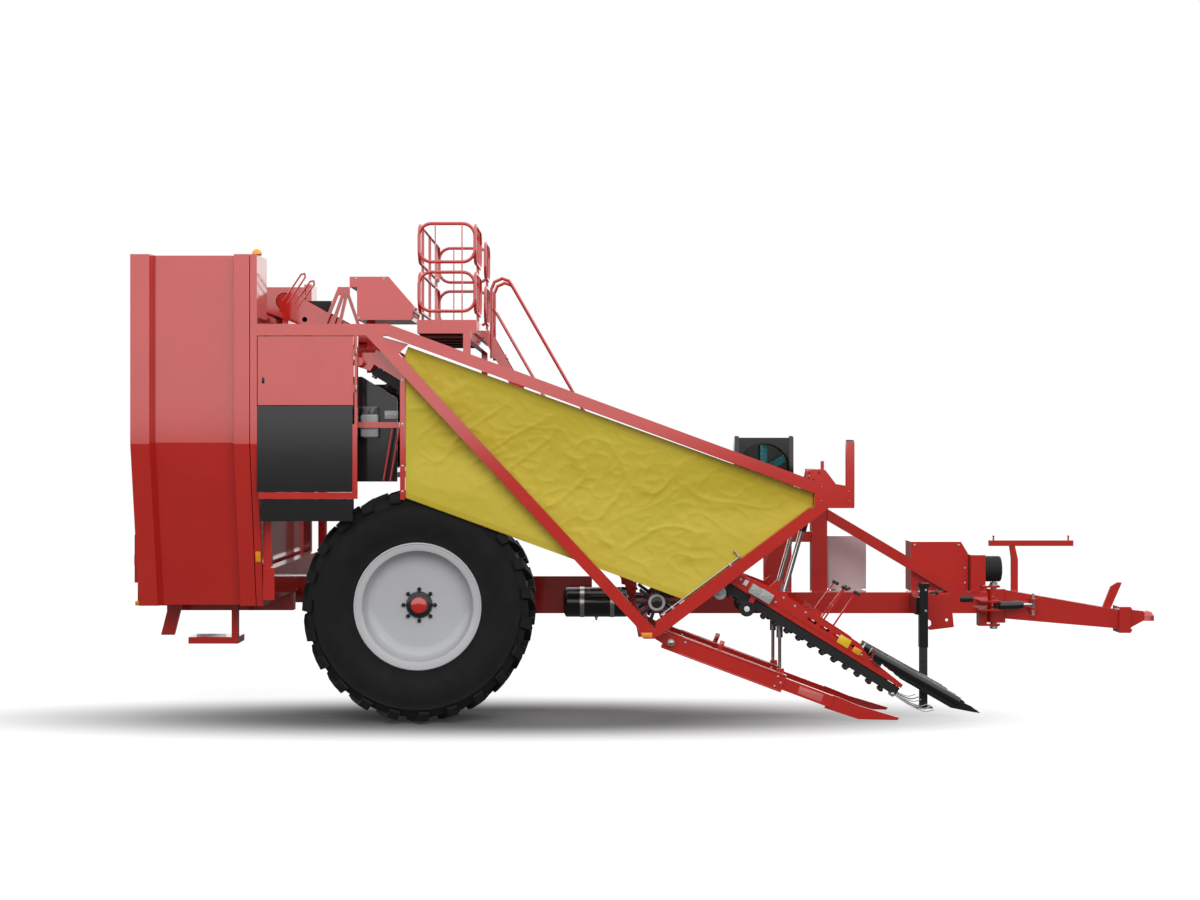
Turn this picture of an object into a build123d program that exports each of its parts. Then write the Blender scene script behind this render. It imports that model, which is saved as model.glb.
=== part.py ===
from build123d import *
from math import atan2, cos, radians, sin, sqrt, tan
import os

# Frame: +X forward, -Y the machine's right side, Z = 0 the ground, sizes in mm.
# The origin is the middle of the overall length and width, on the ground.

# Overall
overall_width = 3300
rear_end_x = -4716
coupling_x = 4650
run_clear = 0.3
soft_clear = 0.3

# Wheels and axle
wheel_x = -2137
right_radius = 1020
right_width = 710
left_radius = 800
left_width = 600
lug_height = 52
lug_count = 23
right_rim_radius = 535
left_rim_radius = 330
nut_count = 8
hub_face = 34
side_y = overall_width / 2
wheel_inset = 120
right_wheel_y = wheel_inset + right_width / 2 - side_y
left_wheel_y = side_y - left_width / 2

# Main beam and chassis
beam_half = 100
beam_bottom = 829
beam_top = 1028
beam_front_x = 3115
beam_rear_x = -2320
upper_top = 1180
upper_front_x = -630
cross_x = -3490
cross_depth = 100
cross_bottom = 1070
cross_top = 1350

# Right side frame
frame_y = -side_y
frame_tube = 100
top_rail_z = 3460
top_rail_rear_x = -3495
bend_x = -2371
rail_slope = 20.2
rail_front_end_x = 1286
node_x = -148
node_z = 842
gusset_x = (1286, 1627)
gusset_z = (1880, 2090)
lift_top_x = 1346
lift_top_z = 2170
post_cap_z = 2450

# Bunker
bunker_rear_x = -4581
bunker_front_x = -3560
bunker_top = 4058
bunker_knee = 2430
bunker_floor = 1016
bunker_inset = 290
bunker_left_y = 1530
bunker_wall = 10
recess_depth = 118
tip_y = 1596
tip_z = 3000
post_reach = 48
board_thick = 58
board_wall = 8
lamp_wall = 5
tip_low = (1380, 1100)
tip_high = (1476, 2440)

# Lifting unit
pivot_x = -2633
pivot_z = 3140
lift_slope = 31.57
lift_length = 5577
row_inset = 170
row_spacing = 600
unit_width = 150
belt_height = 76
belt_thick = 12
channel_low = 46
channel_high = 165
channel_wall = 8
shaft_radius = 38

# Share arms
share_x = 62
share_z = 708
share_slope = 20.5
sleeve_length = 1050
sleeve_height = 155
arm_height = 106
arm_length = 1500
arm_width = 84

# Drawbar
hinge_x = 3191
drawbar_half = 70
coupling_z = 783
steer_rear = (3162, -250)
steer_front = (3534, -130)
steer_z = 916
ball_radius = 40
dome_radius = 66

# Front and platform
column_x = 1451
column_size = 148
column_top = 1900
stay_size = 95
cooler_x = (727, 1277)
cooler_z = (1872, 2490)
fan_x = 1002
fan_z = 2181
fan_radius = 238
fan_front_y = 14
platform_x = (-2173, -1648)
platform_y = (-1150, 850)
deck_z = 3410
deck_depth = 120
deck_top = deck_z + deck_depth
rail_z = deck_top + 855
rail_size = 30

# Elevator
elevator_slope = 29.4
head_x = -3450
head_z = 3740
elevator_length = 1820
elevator_depth = 210
hoop_half = 23


frame_in = frame_y + frame_tube
row_right_y = frame_in + row_inset
rows = (row_right_y, row_right_y + row_spacing)
post_y = frame_in + 160
post_size = 80
elevator_half = -(rows[1] + 180)


def lift_point(along, up):
    """A point of the lifting unit's side view: along it from its pivot, and square to it."""
    angle = radians(lift_slope)
    x = pivot_x + along * cos(angle) + up * sin(angle)
    z = pivot_z - along * sin(angle) + up * cos(angle)
    return (x, z)


def share_point(along, up):
    """A point of a share arm's side view: along it from its pivot, and square to it."""
    angle = radians(share_slope)
    x = share_x + along * cos(angle) + up * sin(angle)
    z = share_z - along * sin(angle) + up * cos(angle)
    return (x, z)


def elevator_point(along, up):
    """A point of the elevator's side view: down along it from its head, and square to it."""
    angle = radians(elevator_slope)
    x = head_x + along * cos(angle) + up * sin(angle)
    z = head_z - along * sin(angle) + up * cos(angle)
    return (x, z)


def quad(place, along_from, along_to, up_from, up_to):
    """The four corners of a rectangle in one of the sloped side views."""
    return [
        place(along_from, up_from),
        place(along_to, up_from),
        place(along_to, up_to),
        place(along_from, up_to),
    ]


def plate(outline, y_from, y_to, mode=Mode.ADD):
    """A side-view outline made solid from y_from up to y_to."""
    with BuildSketch(Plane.XZ.offset(-y_to)) as face:
        with BuildLine():
            Polyline(*outline, close=True)
        make_face()
    extrude(face.sketch, amount=y_to - y_from, mode=mode)


def block(x_from, x_to, y_from, y_to, z_from, z_to, mode=Mode.ADD):
    """An upright block between two corners."""
    with BuildSketch(Plane.XY.offset(z_from)) as foot:
        with Locations(((x_from + x_to) / 2, (y_from + y_to) / 2)):
            Rectangle(x_to - x_from, y_to - y_from)
    extrude(foot.sketch, amount=z_to - z_from, mode=mode)


def shaft(x, z, radius, y_from, y_to, mode=Mode.ADD):
    """A round piece whose axis runs across the machine."""
    with BuildSketch(Plane.XZ.offset(-y_to)) as disc:
        with Locations((x, z)):
            Circle(radius)
    extrude(disc.sketch, amount=y_to - y_from, mode=mode)


def bar(start, end, radius, mode=Mode.ADD):
    """A round bar from one point to another."""
    run = Vector(*end) - Vector(*start)
    with BuildSketch(Plane(origin=start, z_dir=run)) as section:
        Circle(radius)
    extrude(section.sketch, amount=run.length, mode=mode)


def box_bar(start, end, width, height, mode=Mode.ADD):
    """A box section tube from one point to another, its width across the machine."""
    run = Vector(*end) - Vector(*start)
    with BuildSketch(Plane(origin=start, x_dir=(0, 1, 0), z_dir=run)) as section:
        Rectangle(width, height)
    extrude(section.sketch, amount=run.length, mode=mode)


def tube(points, radius, close=False):
    """A mitred tube along a run of points, drawn with eight flats."""
    with BuildLine() as path:
        Polyline(*points, close=close)
    run = Vector(*points[1]) - Vector(*points[0])
    with BuildSketch(Plane(origin=points[0], z_dir=run)) as section:
        RegularPolygon(radius, 8)
    sweep(section.sketch, path=path.line, transition=Transition.RIGHT)


def save(piece, name):
    """Labels a finished piece and writes its file."""
    piece.part.label = name
    export_step(piece.part, f"parts/{name}.step")


os.makedirs("parts", exist_ok=True)


# Tyres: a carcass with straight-sided bars from the middle of the tread to each shoulder
def make_tyre(radius, width, rim_radius, wheel_y, count, name):
    centre = (wheel_x, wheel_y, radius)
    axle_axis = Axis(centre, (0, 1, 0))
    half = width / 2
    tread = radius - lug_height
    flank = (radius + rim_radius) / 2
    bead = half * 0.78
    lug_width = radius * 0.062
    lug_reach = lug_width * 1.9
    crest = sqrt(radius**2 - lug_reach**2)
    foot = tread - 60
    section_plane = Plane(origin=centre, x_dir=(0, 1, 0), z_dir=(1, 0, 0))
    with BuildPart() as lug:
        with BuildSketch(Plane(origin=(wheel_x, wheel_y, radius + foot), x_dir=(0, 1, 0))):
            with BuildLine():
                Polyline(
                    (-8, -lug_reach),
                    (half * 0.2, -lug_reach),
                    (half + 20, lug_width * 0.4),
                    (half + 20, lug_reach),
                    (half * 0.16, -lug_width * 0.9),
                    (-8, -lug_width),
                    close=True,
                )
            make_face()
        extrude(amount=lug_height + 80)
        with BuildSketch(section_plane):
            with BuildLine():
                Polyline(
                    (-8, foot),
                    (half - 22, foot - 40),
                    (half, tread - 44),
                    (half - 18, crest - 22),
                    (half * 0.5, crest),
                    (-8, crest),
                    close=True,
                )
            make_face()
        extrude(amount=lug_reach + 20, both=True, mode=Mode.INTERSECT)
    other = lug.part.mirror(Plane(origin=centre, z_dir=(0, 1, 0)))
    lugs = []
    for step in range(count):
        turn = 360 / count * step
        lugs.append(lug.part.rotate(axle_axis, turn))
        lugs.append(other.rotate(axle_axis, turn + 180 / count))
    with BuildPart() as tyre:
        with BuildSketch(section_plane):
            with BuildLine():
                Polyline(
                    (-bead, rim_radius + run_clear),
                    (-half + 14, flank),
                    (-half * 0.84, tread - 8),
                    (half * 0.84, tread - 8),
                    (half - 14, flank),
                    (bead, rim_radius + run_clear),
                    close=True,
                )
            make_face()
        revolve(axis=axle_axis)
        add(lugs)
    save(tyre, name)


# Rims: a barrel that fills the tyre's bore, a dished disc, a hub ring, nuts and a cap
def make_rim(radius, width, rim_radius, wheel_y, outward, name):
    centre = (wheel_x, wheel_y, radius)
    axle_axis = Axis(centre, (0, 1, 0))
    half = width / 2 * 0.78
    section_plane = Plane(origin=centre, x_dir=(0, outward, 0), z_dir=(outward, 0, 0))
    dish = rim_radius * 0.86
    disc_at = half * 0.35
    with BuildPart() as rim:
        with BuildSketch(section_plane):
            with BuildLine():
                Polyline(
                    (-half, rim_radius),
                    (half, rim_radius),
                    (half + 22, rim_radius + 18),
                    (half + 10, rim_radius - 16),
                    (disc_at + 60, dish),
                    (disc_at, dish * 0.8),
                    (disc_at + 26, 112),
                    (disc_at + 26 + hub_face, 106),
                    (disc_at + 30 + hub_face, 70),
                    (disc_at + 60 + hub_face, 0),
                    (disc_at - 60, 0),
                    (disc_at - 60, 95),
                    (disc_at - 18, dish * 0.82),
                    (half * 0.7, rim_radius - 22),
                    (-half, rim_radius - 22),
                    close=True,
                )
            make_face()
        revolve(axis=axle_axis)
        nut_plane = Plane(
            origin=(wheel_x, wheel_y + outward * (disc_at + 10), radius),
            x_dir=(1, 0, 0),
            z_dir=(0, outward, 0),
        )
        with BuildSketch(nut_plane):
            with PolarLocations(138, nut_count):
                RegularPolygon(17, 6)
        extrude(amount=40)
    save(rim, name)


make_tyre(right_radius, right_width, right_rim_radius, right_wheel_y, lug_count, "tyre_right")
make_tyre(left_radius, left_width, left_rim_radius, left_wheel_y, lug_count - 3, "tyre_left")
make_rim(right_radius, right_width, right_rim_radius, right_wheel_y, -1, "rim_right")
make_rim(left_radius, left_width, left_rim_radius, left_wheel_y, 1, "rim_left")

# Axle: a cross beam under the main beam, an upright at each end and a stub into each hub
stub_radius = 60
hub_depth = 60
right_hub_y = right_wheel_y - (right_width / 2 * 0.78 * 0.35 - hub_depth) + run_clear
left_hub_y = left_wheel_y + (left_width / 2 * 0.78 * 0.35 - hub_depth) - run_clear
axle_half = 75
axle_bottom = 660
right_upright = right_wheel_y + right_width / 2 + 20
left_upright = left_wheel_y - left_width / 2 - 20
with BuildPart() as axle_beam:
    axle_x = (wheel_x - axle_half, wheel_x + axle_half)
    block(*axle_x, right_upright, left_upright, axle_bottom, beam_bottom)
    block(*axle_x, right_upright, right_upright + 90, axle_bottom, right_radius + 90)
    block(*axle_x, left_upright - 90, left_upright, axle_bottom, left_radius + 90)
    shaft(wheel_x, right_radius, stub_radius, right_hub_y, right_upright)
    shaft(wheel_x, left_radius, stub_radius, left_upright, left_hub_y)
save(axle_beam, "axle_beam")

# Main beam: the long box section, with the ears of the drawbar hinge at its front end
pin_radius = 30
ear_half = 60
ear_length = 95
with BuildPart() as main_beam:
    block(beam_rear_x, beam_front_x, -beam_half, beam_half, beam_bottom, beam_top)
    for low, high in ((1066, 1086), (704, 724)):
        block(3040, hinge_x, -ear_half, ear_half, low, high)
        with BuildSketch(Plane.XY.offset(low)) as nose:
            with Locations((hinge_x, 0)):
                Circle(ear_half)
        extrude(nose.sketch, amount=high - low)
    block(3040, beam_front_x, -ear_half, ear_half, beam_top, 1066)
    block(3040, beam_front_x, -ear_half, ear_half, 724, beam_bottom)
    with BuildSketch(Plane.XY.offset(690)) as pin_section:
        with Locations((hinge_x, 0)):
            Circle(pin_radius)
    extrude(pin_section.sketch, amount=410)
    plate([(2470, 1010), (2760, 1010), (2790, 700), (2560, 672), (2480, 780)], -118, -beam_half)
    shaft(2545, 738, 32, -130, -99, mode=Mode.SUBTRACT)
    shaft(2722, 768, 14, -130, -99, mode=Mode.SUBTRACT)
    for low in (868, 950):
        block(3000, steer_rear[0] + 30, steer_rear[1] - 40, -beam_half, low, low + 16)
    block(3116, 3200, -209, -99, 860, 970, mode=Mode.SUBTRACT)
    bar((*steer_rear, 868), (*steer_rear, 966), 12)
    block(cross_x + cross_depth, upper_front_x, -beam_half, beam_half, beam_top, upper_top)
save(main_beam, "main_beam")

# Rear frame: a deep cross beam ahead of the bunker and two beams that lie under it
with BuildPart() as rear_frame:
    block(cross_x, cross_x + cross_depth, post_y - 10, 1640, cross_bottom, cross_top)
    for inner in (-460, 340):
        block(-4560, cross_x + cross_depth, inner, inner + 120, 892, bunker_floor - 8)
        block(cross_x, cross_x + cross_depth, inner, inner + 120, 892, cross_bottom)
    block(-4560, -4460, -460, 1640, 892, bunker_floor - 8)
    block(-4700, -4560, 1340, 1640, 892, bunker_floor - 8)
    for ear_x in (-4700, -4608):
        block(ear_x, ear_x + 10, 1340, 1420, bunker_floor - 8, 1140)
    bar((-4700, *tip_low), (-4598, *tip_low), 16)
    block(-4700, -4620, 1560, 1640, bunker_floor - 8, tip_z + post_reach)
    block(cross_x + 4, cross_x + 84, 1560, 1640, cross_top, tip_z + post_reach)
    bar((-4620, tip_y, tip_z), (bunker_rear_x + 50, tip_y, tip_z), 24)
    bar((bunker_front_x - 50, tip_y, tip_z), (cross_x + 4, tip_y, tip_z), 24)
    block(-3880, -3822, -850, -790, 627, bunker_floor - 8)
    block(-4270, -3822, -850, -560, 627, 687)
    plate([(-4475, bunker_floor - 8), (-4355, bunker_floor - 8), (-4435, 690), (-4555, 690)], -700, -660)
    block(-4555, -3822, -790, -460, 970, bunker_floor - 8)
save(rear_frame, "rear_frame")

# Upright posts that carry the right side frame and the elevator
with BuildPart() as rear_posts:
    block(cross_x, cross_x + 70, post_y, post_y + post_size, cross_top, top_rail_z - frame_tube)
    block(cross_x, cross_x + 70, frame_in + 50, 780, top_rail_z - frame_tube, top_rail_z - 20)
    block(cross_x, cross_x + 70, 700, 780, cross_top, top_rail_z - frame_tube)
save(rear_posts, "rear_posts")


# Right side frame: a bent top rail, a long diagonal and a short strut that meet low down
def rail_height(x):
    """Upper edge of the sloped stretch of the top rail."""
    return top_rail_z - (x - bend_x) * tan(radians(rail_slope))


rail_drop = frame_tube / cos(radians(rail_slope))
with BuildPart() as side_rail:
    plate(
        [
            (top_rail_rear_x, top_rail_z),
            (bend_x, top_rail_z),
            (rail_front_end_x, rail_height(rail_front_end_x)),
            (rail_front_end_x, rail_height(rail_front_end_x) - rail_drop),
            (bend_x - frame_tube * tan(radians(rail_slope / 2)), top_rail_z - frame_tube),
            (top_rail_rear_x, top_rail_z - frame_tube),
        ],
        frame_y,
        frame_in,
    )
save(side_rail, "side_rail")

diagonal_angle = radians(47.1)
diagonal_half = frame_tube / 2 / sin(diagonal_angle)
with BuildPart() as side_diagonal:
    low_x = node_x - 4
    rise = (top_rail_z - frame_tube) - node_z
    top_x = low_x - rise / tan(diagonal_angle)
    plate(
        [
            (low_x - diagonal_half, node_z),
            (low_x + diagonal_half, node_z),
            (top_x + diagonal_half, top_rail_z - frame_tube),
            (top_x - diagonal_half, top_rail_z - frame_tube),
        ],
        frame_y + 2,
        frame_in - 2,
    )
    plate([(-2430, 3352), (-2201, 3288), (-2290, 3203)], frame_y + 47, frame_y + 53)
    block(-2278, -2235, frame_in - 10, frame_in - 2, 1950, 3180)
save(side_diagonal, "side_diagonal")

strut_angle = radians(36)
with BuildPart() as side_strut:
    strut_foot = (node_x + 72, node_z + 20)
    strut_run = (gusset_z[0] - strut_foot[1]) / tan(strut_angle)
    strut_half = frame_tube / 2 / sin(strut_angle)
    plate(
        [
            (strut_foot[0], node_z - 60),
            (strut_foot[0] + 30, node_z - 60),
            (strut_foot[0] + strut_run + strut_half, gusset_z[0]),
            (strut_foot[0] + strut_run - strut_half, gusset_z[0]),
            (strut_foot[0], node_z + 60),
        ],
        frame_y + 2,
        frame_in - 2,
    )
save(side_strut, "side_strut")

with BuildPart() as side_node:
    plate(
        [
            (node_x - 75, node_z),
            (node_x + 72, node_z),
            (node_x + 72, node_z - 82),
            (node_x - 30, node_z - 82),
            (node_x - 75, node_z - 30),
        ],
        frame_y,
        frame_in,
    )
    block(node_x - 75, node_x + 25, frame_in, -beam_half, 765, 865)
    shaft(share_x, share_z, 30, rows[0] - 90, rows[1] + 90)
    for row in rows:
        for offset in (-62, 50):
            cheek = [(node_x + 25, 865), (node_x + 25, 765), (40, 664), (104, 690), (96, 744)]
            plate(cheek, row + offset, row + offset + 12)
save(side_node, "side_node")

# Front gusset of the side frame, its short post and the cross tube to the column
cross_tube_x = (1466, 1566)
with BuildPart() as side_gusset:
    plate(
        [
            (gusset_x[0], gusset_z[0]),
            (gusset_x[1], gusset_z[0]),
            (gusset_x[1], 2062),
            (1449, 2090),
            (1375, 2195),
            (1350, 2216),
            (1239, 2208),
            (1239, 2142),
            (gusset_x[0], 2125),
        ],
        frame_y,
        frame_y + 60,
    )
    for ear_x, ear_z in ((1239, 2174), (1325, 2181)):
        shaft(ear_x, ear_z, 34, frame_y, frame_y + 60)
        shaft(ear_x, ear_z, 14, frame_y - 1, frame_y + 61, mode=Mode.SUBTRACT)
    block(1342, 1368, frame_y + 10, frame_y + 40, 2190, 2284)
    block(1567, 1637, frame_y + 60, frame_y + 125, 1900, post_cap_z)
    block(cross_tube_x[0], cross_tube_x[1], frame_y + 60, column_size / 2, column_top, column_top + 100)
    for row in rows:
        bracket = [
            (lift_top_x - 34, lift_top_z - 30),
            (lift_top_x - 34, lift_top_z + 34),
            (lift_top_x + 60, lift_top_z + 34),
            (cross_tube_x[1] - 6, column_top + 100),
            (cross_tube_x[0], column_top + 100),
        ]
        for offset in (-56, 46):
            plate(bracket, row + offset, row + offset + 10)
        shaft(lift_top_x, lift_top_z, 15, row - 56, row + 56)
save(side_gusset, "side_gusset")

# Front columns, stay and cooler mast
with BuildPart() as front_columns:
    block(column_x, column_x + column_size, -74, 74, beam_top, column_top)
    block(1003, 1264, -50, 40, beam_top, cooler_z[0])
    block(1264, column_x, -40, 30, 1500, 1600)
save(front_columns, "front_columns")

with BuildPart() as front_stay:
    plate(
        [(column_x + column_size, 1815), (2930, beam_top), (2740, beam_top), (column_x + column_size, 1705)],
        -beam_half,
        -beam_half + stay_size,
    )
save(front_stay, "front_stay")

# Oil cooler: a cowl round a fan, on the mast
with BuildPart() as cooler:
    block(cooler_x[0], cooler_x[1], -50, 140, cooler_z[0], cooler_z[1])
    shaft(fan_x, fan_z, fan_radius + 12, -51, 60, mode=Mode.SUBTRACT)
    shaft(fan_x, fan_z, 26, fan_front_y + run_clear, 61)
save(cooler, "cooler")

with BuildPart() as cooler_fan:
    shaft(fan_x, fan_z, 62, -40, fan_front_y)
    for blade in range(6):
        turn = radians(60 * blade)
        middle = (fan_x + 145 * sin(turn), -14, fan_z + 145 * cos(turn))
        across = Vector(cos(turn) * 0.82, 0.57, -sin(turn) * 0.82)
        with BuildSketch(Plane(origin=middle, x_dir=across, z_dir=(sin(turn), 0, cos(turn)))) as foil:
            Rectangle(84, 6)
        extrude(foil.sketch, amount=90, both=True)
save(cooler_fan, "cooler_fan")

# Electric cabinet on the left of the main beam
with BuildPart() as cabinet:
    block(1667, 2031, 350, 640, 1023, 1536)
    block(1720, 1980, beam_half, 350, 1023 - 60, 1023)
    block(1720, 1980, 350, 600, 963, 1023)
save(cabinet, "cabinet")

# Gearbox hood, gearbox and drive shaft guard
with BuildPart() as gearbox_hood:
    plate(
        [(2407, beam_top), (2947, beam_top), (2947, 1390), (2880, 1500), (2407, 1500)],
        0,
        310,
    )
save(gearbox_hood, "gearbox_hood")

pto_z = 1243
with BuildPart() as gearbox:
    block(2957, 3040, -110, 110, beam_top, 1380)
    block(3040, 3091, -110, 110, 1092, 1380)
    bar((3091, 0, pto_z), (3210, 0, pto_z), 17.46)
save(gearbox, "gearbox")

with BuildPart() as pto_guard:
    with BuildSketch(Plane(origin=(3091, 0, pto_z), x_dir=(0, 1, 0), z_dir=(1, 0, 0))) as ring:
        Circle(117)
    extrude(ring.sketch, amount=155)
    with BuildSketch(Plane(origin=(3091, 0, pto_z), x_dir=(0, 1, 0), z_dir=(1, 0, 0))) as bore:
        Circle(109)
    extrude(bore.sketch, amount=156, mode=Mode.SUBTRACT)
save(pto_guard, "pto_guard")

# Drawbar: a tapered box beam, its eye on the hinge pin, an end flange and the coupling
drawbar_rear_x = 3290
flange_x = 4357
flange_thick = 54


def drawbar_top(x):
    """Upper edge of the tapered drawbar beam."""
    return 1046 - (x - drawbar_rear_x) * (1046 - 858) / (flange_x - drawbar_rear_x)


with BuildPart() as drawbar:
    plate(
        [(drawbar_rear_x, 1046), (flange_x, 858), (flange_x, 682), (drawbar_rear_x, 775)],
        -drawbar_half,
        drawbar_half,
    )
    with BuildSketch(Plane.XY.offset(735)) as eye:
        with Locations((hinge_x, 0)):
            Circle(64)
        with Locations(((hinge_x + drawbar_rear_x) / 2, 0)):
            Rectangle(drawbar_rear_x - hinge_x, 120)
        with Locations((hinge_x, 0)):
            Circle(pin_radius + run_clear, mode=Mode.SUBTRACT)
    extrude(eye.sketch, amount=320)
    block(flange_x, flange_x + flange_thick, -110, 110, 644, 890)
    hook = [
        (4221, drawbar_top(4221) - 5),
        (4300, 1075),
        (4366, 1116),
        (4409, 1112),
        (4300, drawbar_top(4300) - 5),
    ]
    plate(hook, -12, 12)
    for low in (862, 944):
        with BuildSketch(Plane.XY.offset(low)) as lug:
            with Locations(steer_front):
                Circle(30)
            with Locations((steer_front[0], (steer_front[1] - drawbar_half) / 2)):
                Rectangle(60, -drawbar_half - steer_front[1])
        extrude(lug.sketch, amount=24)
save(drawbar, "drawbar")

# Ball coupling: a cast dome, open below, on a tapered neck and a bolted flange
socket_plane = Plane(origin=(coupling_x, 0, coupling_z), x_dir=(1, 0, 0), z_dir=(0, -1, 0))
socket_axis = Axis((coupling_x, 0, coupling_z), (0, 0, 1))
neck_x = flange_x + 2 * flange_thick
with BuildPart() as coupling:
    block(flange_x + flange_thick, neck_x, -110, 110, 644, 890)
    for y in (-88, 88):
        for z in (668, 866):
            bar((neck_x, y, z), (neck_x + 14, y, z), 14)
    plate([(neck_x, 860), (4600, 846), (4600, 753), (neck_x, 680)], -50, 50)
    with BuildSketch(socket_plane):
        with BuildLine():
            Polyline(
                (0, dome_radius),
                (dome_radius * 0.62, dome_radius * 0.8),
                (dome_radius * 0.96, dome_radius * 0.3),
                (dome_radius, -30),
                (0, -30),
                close=True,
            )
        make_face()
    revolve(axis=socket_axis)
    with BuildSketch(socket_plane):
        with BuildLine():
            Polyline((0, ball_radius), (26, 32), (ball_radius, 4), (ball_radius, -31), (0, -31), close=True)
        make_face()
    revolve(axis=socket_axis, mode=Mode.SUBTRACT)
save(coupling, "coupling")

with BuildPart() as hose_support:
    plate(
        [
            (3378, drawbar_top(3378) - 60),
            (3440, drawbar_top(3440) - 60),
            (3440, 1330),
            (3412, 1456),
            (3362, 1456),
            (3378, 1340),
        ],
        drawbar_half,
        drawbar_half + 40,
    )
    hose_y = drawbar_half + 20
    block(3167, 3967, hose_y - 30, hose_y + 30, 1456, 1510)
    for peg in (3210, 3925):
        bar((peg, hose_y, 1510), (peg, hose_y, 1545), 8)
save(hose_support, "hose_support")

# Steering cylinder between an ear on the main beam and the drawbar's side
steer_run = Vector(steer_front[0] - steer_rear[0], steer_front[1] - steer_rear[1], 0)
steer_way = steer_run.normalized()

def steer_at(distance):
    """A point on the steering cylinder's axis, at a distance from its rear eye."""
    return (
        steer_rear[0] + steer_way.X * distance,
        steer_rear[1] + steer_way.Y * distance,
        steer_z,
    )


with BuildPart() as steer_barrel:
    with BuildSketch(Plane.XY.offset(893)) as steer_eye:
        with Locations(steer_rear):
            Circle(28)
    extrude(steer_eye.sketch, amount=48)
    bar(steer_at(20), steer_at(262), 32)
    bar(steer_at(60), steer_at(263), 16 + run_clear, mode=Mode.SUBTRACT)
    bar((steer_rear[0], steer_rear[1], 880), (steer_rear[0], steer_rear[1], 950), 12.3, mode=Mode.SUBTRACT)
save(steer_barrel, "steer_barrel")

with BuildPart() as steer_rod:
    bar(steer_at(165), steer_at(steer_run.length - 8), 16)
    with BuildSketch(Plane.XY.offset(896)) as rod_eye:
        with Locations(steer_front):
            Circle(24)
    extrude(rod_eye.sketch, amount=40)
save(steer_rod, "steer_rod")

# Parking jack on a bracket, with its inner leg and foot
jack_x = 2429
jack_y = -500
jack_half = 39
jack_wall = 5
with BuildPart() as jack_tube:
    block(jack_x - jack_half, jack_x + jack_half, jack_y - jack_half, jack_y + jack_half, 556, 1133)
    inner = jack_half - jack_wall
    block(jack_x - inner, jack_x + inner, jack_y - inner, jack_y + inner, 555, 1110, mode=Mode.SUBTRACT)
    block(jack_x - 60, jack_x + 36, jack_y + jack_half, -beam_half, 850, 1010)
    block(jack_x - 52, jack_x + 52, jack_y - 48, jack_y + 48, 1110, 1146)
save(jack_tube, "jack_tube")

with BuildPart() as jack_leg:
    leg_half = inner - run_clear
    block(jack_x - leg_half, jack_x + leg_half, jack_y - leg_half, jack_y + leg_half, 12, 640)
    block(jack_x - 75, jack_x + 75, jack_y - 75, jack_y + 75, 0, 14)
save(jack_leg, "jack_leg")

# Air tank with two straps
tank_y = -258
tank_z = 952
with BuildPart() as air_tank:
    bar((-858, tank_y, tank_z), (-318, tank_y, tank_z), 140)
    for strap in (-740, -460):
        block(strap, strap + 40, tank_y, -beam_half, 900, 1000)
save(air_tank, "air_tank")


# Bunker: a crosswise tub, open on top, its right end wall folded and recessed
def bunker_outline(inset, top):
    """The tub's outline seen from behind, drawn in by an even wall."""
    slope_in = inset * 1.02
    return [
        (-side_y + inset, top),
        (-side_y + inset, bunker_knee - inset * 0.1),
        (-side_y + bunker_inset + slope_in, bunker_floor + inset),
        (bunker_left_y - 520 - slope_in, bunker_floor + inset),
        (bunker_left_y - inset, bunker_knee - inset * 0.1),
        (bunker_left_y - inset, top),
    ]


def across_profile(outline, x_from, x_to, mode=Mode.ADD):
    """A rear-view outline made solid from x_from up to x_to."""
    with BuildSketch(Plane.YZ.offset(x_from)) as face:
        with BuildLine():
            Polyline(*outline, close=True)
        make_face()
    extrude(face.sketch, amount=x_to - x_from, mode=mode)


def recess_cut(grow, mode):
    """The trapezoid recess of the right end wall, above and below the knee."""
    wide = (-4418 - grow, -3693 + grow)
    tight = (-4394 - grow, -3724 + grow)
    depth = recess_depth + grow
    lean = atan2(bunker_inset, bunker_knee - bunker_floor)
    upper = Plane(origin=(0, -side_y, bunker_knee - 40), x_dir=(1, 0, 0), z_dir=(0, 0, 1))
    lower = Plane(
        origin=(0, -side_y, bunker_knee),
        x_dir=(1, 0, 0),
        z_dir=(0, sin(lean), -cos(lean)),
    )
    for base, side, reach in ((upper, 1, 1700), (lower, -1, 1500)):
        with BuildSketch(base) as wedge_face:
            with BuildLine():
                Polyline(
                    (wide[0], -20 * side),
                    (wide[1], -20 * side),
                    (wide[1], 0),
                    (tight[1], depth * side),
                    (tight[0], depth * side),
                    (wide[0], 0),
                    close=True,
                )
            make_face()
        extrude(wedge_face.sketch, amount=reach, mode=mode)


with BuildPart() as cavity:
    across_profile(
        bunker_outline(bunker_wall, bunker_top + 40),
        bunker_rear_x + bunker_wall,
        bunker_front_x - bunker_wall,
    )
    recess_cut(bunker_wall, Mode.SUBTRACT)

hinge_bore = 24 + run_clear
with BuildPart() as bunker:
    across_profile(bunker_outline(0, bunker_top), bunker_rear_x, bunker_front_x)
    recess_cut(0, Mode.SUBTRACT)
    add(cavity.part, mode=Mode.SUBTRACT)
    block(bunker_front_x - bunker_wall - 1, bunker_front_x + 1, -1200, 1200, 3620, 4100, mode=Mode.SUBTRACT)
    for x_from, x_to in ((bunker_rear_x, bunker_rear_x + 60), (bunker_front_x - 60, bunker_front_x)):
        block(x_from, x_to, bunker_left_y - 1, tip_y + 44, tip_z - 44, tip_z + 44)
        bar((x_from - 1, tip_y, tip_z), (x_to + 1, tip_y, tip_z), hinge_bore, mode=Mode.SUBTRACT)
    bar((-4606, *tip_high), (bunker_rear_x, *tip_high), 30)
save(bunker, "bunker")

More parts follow.
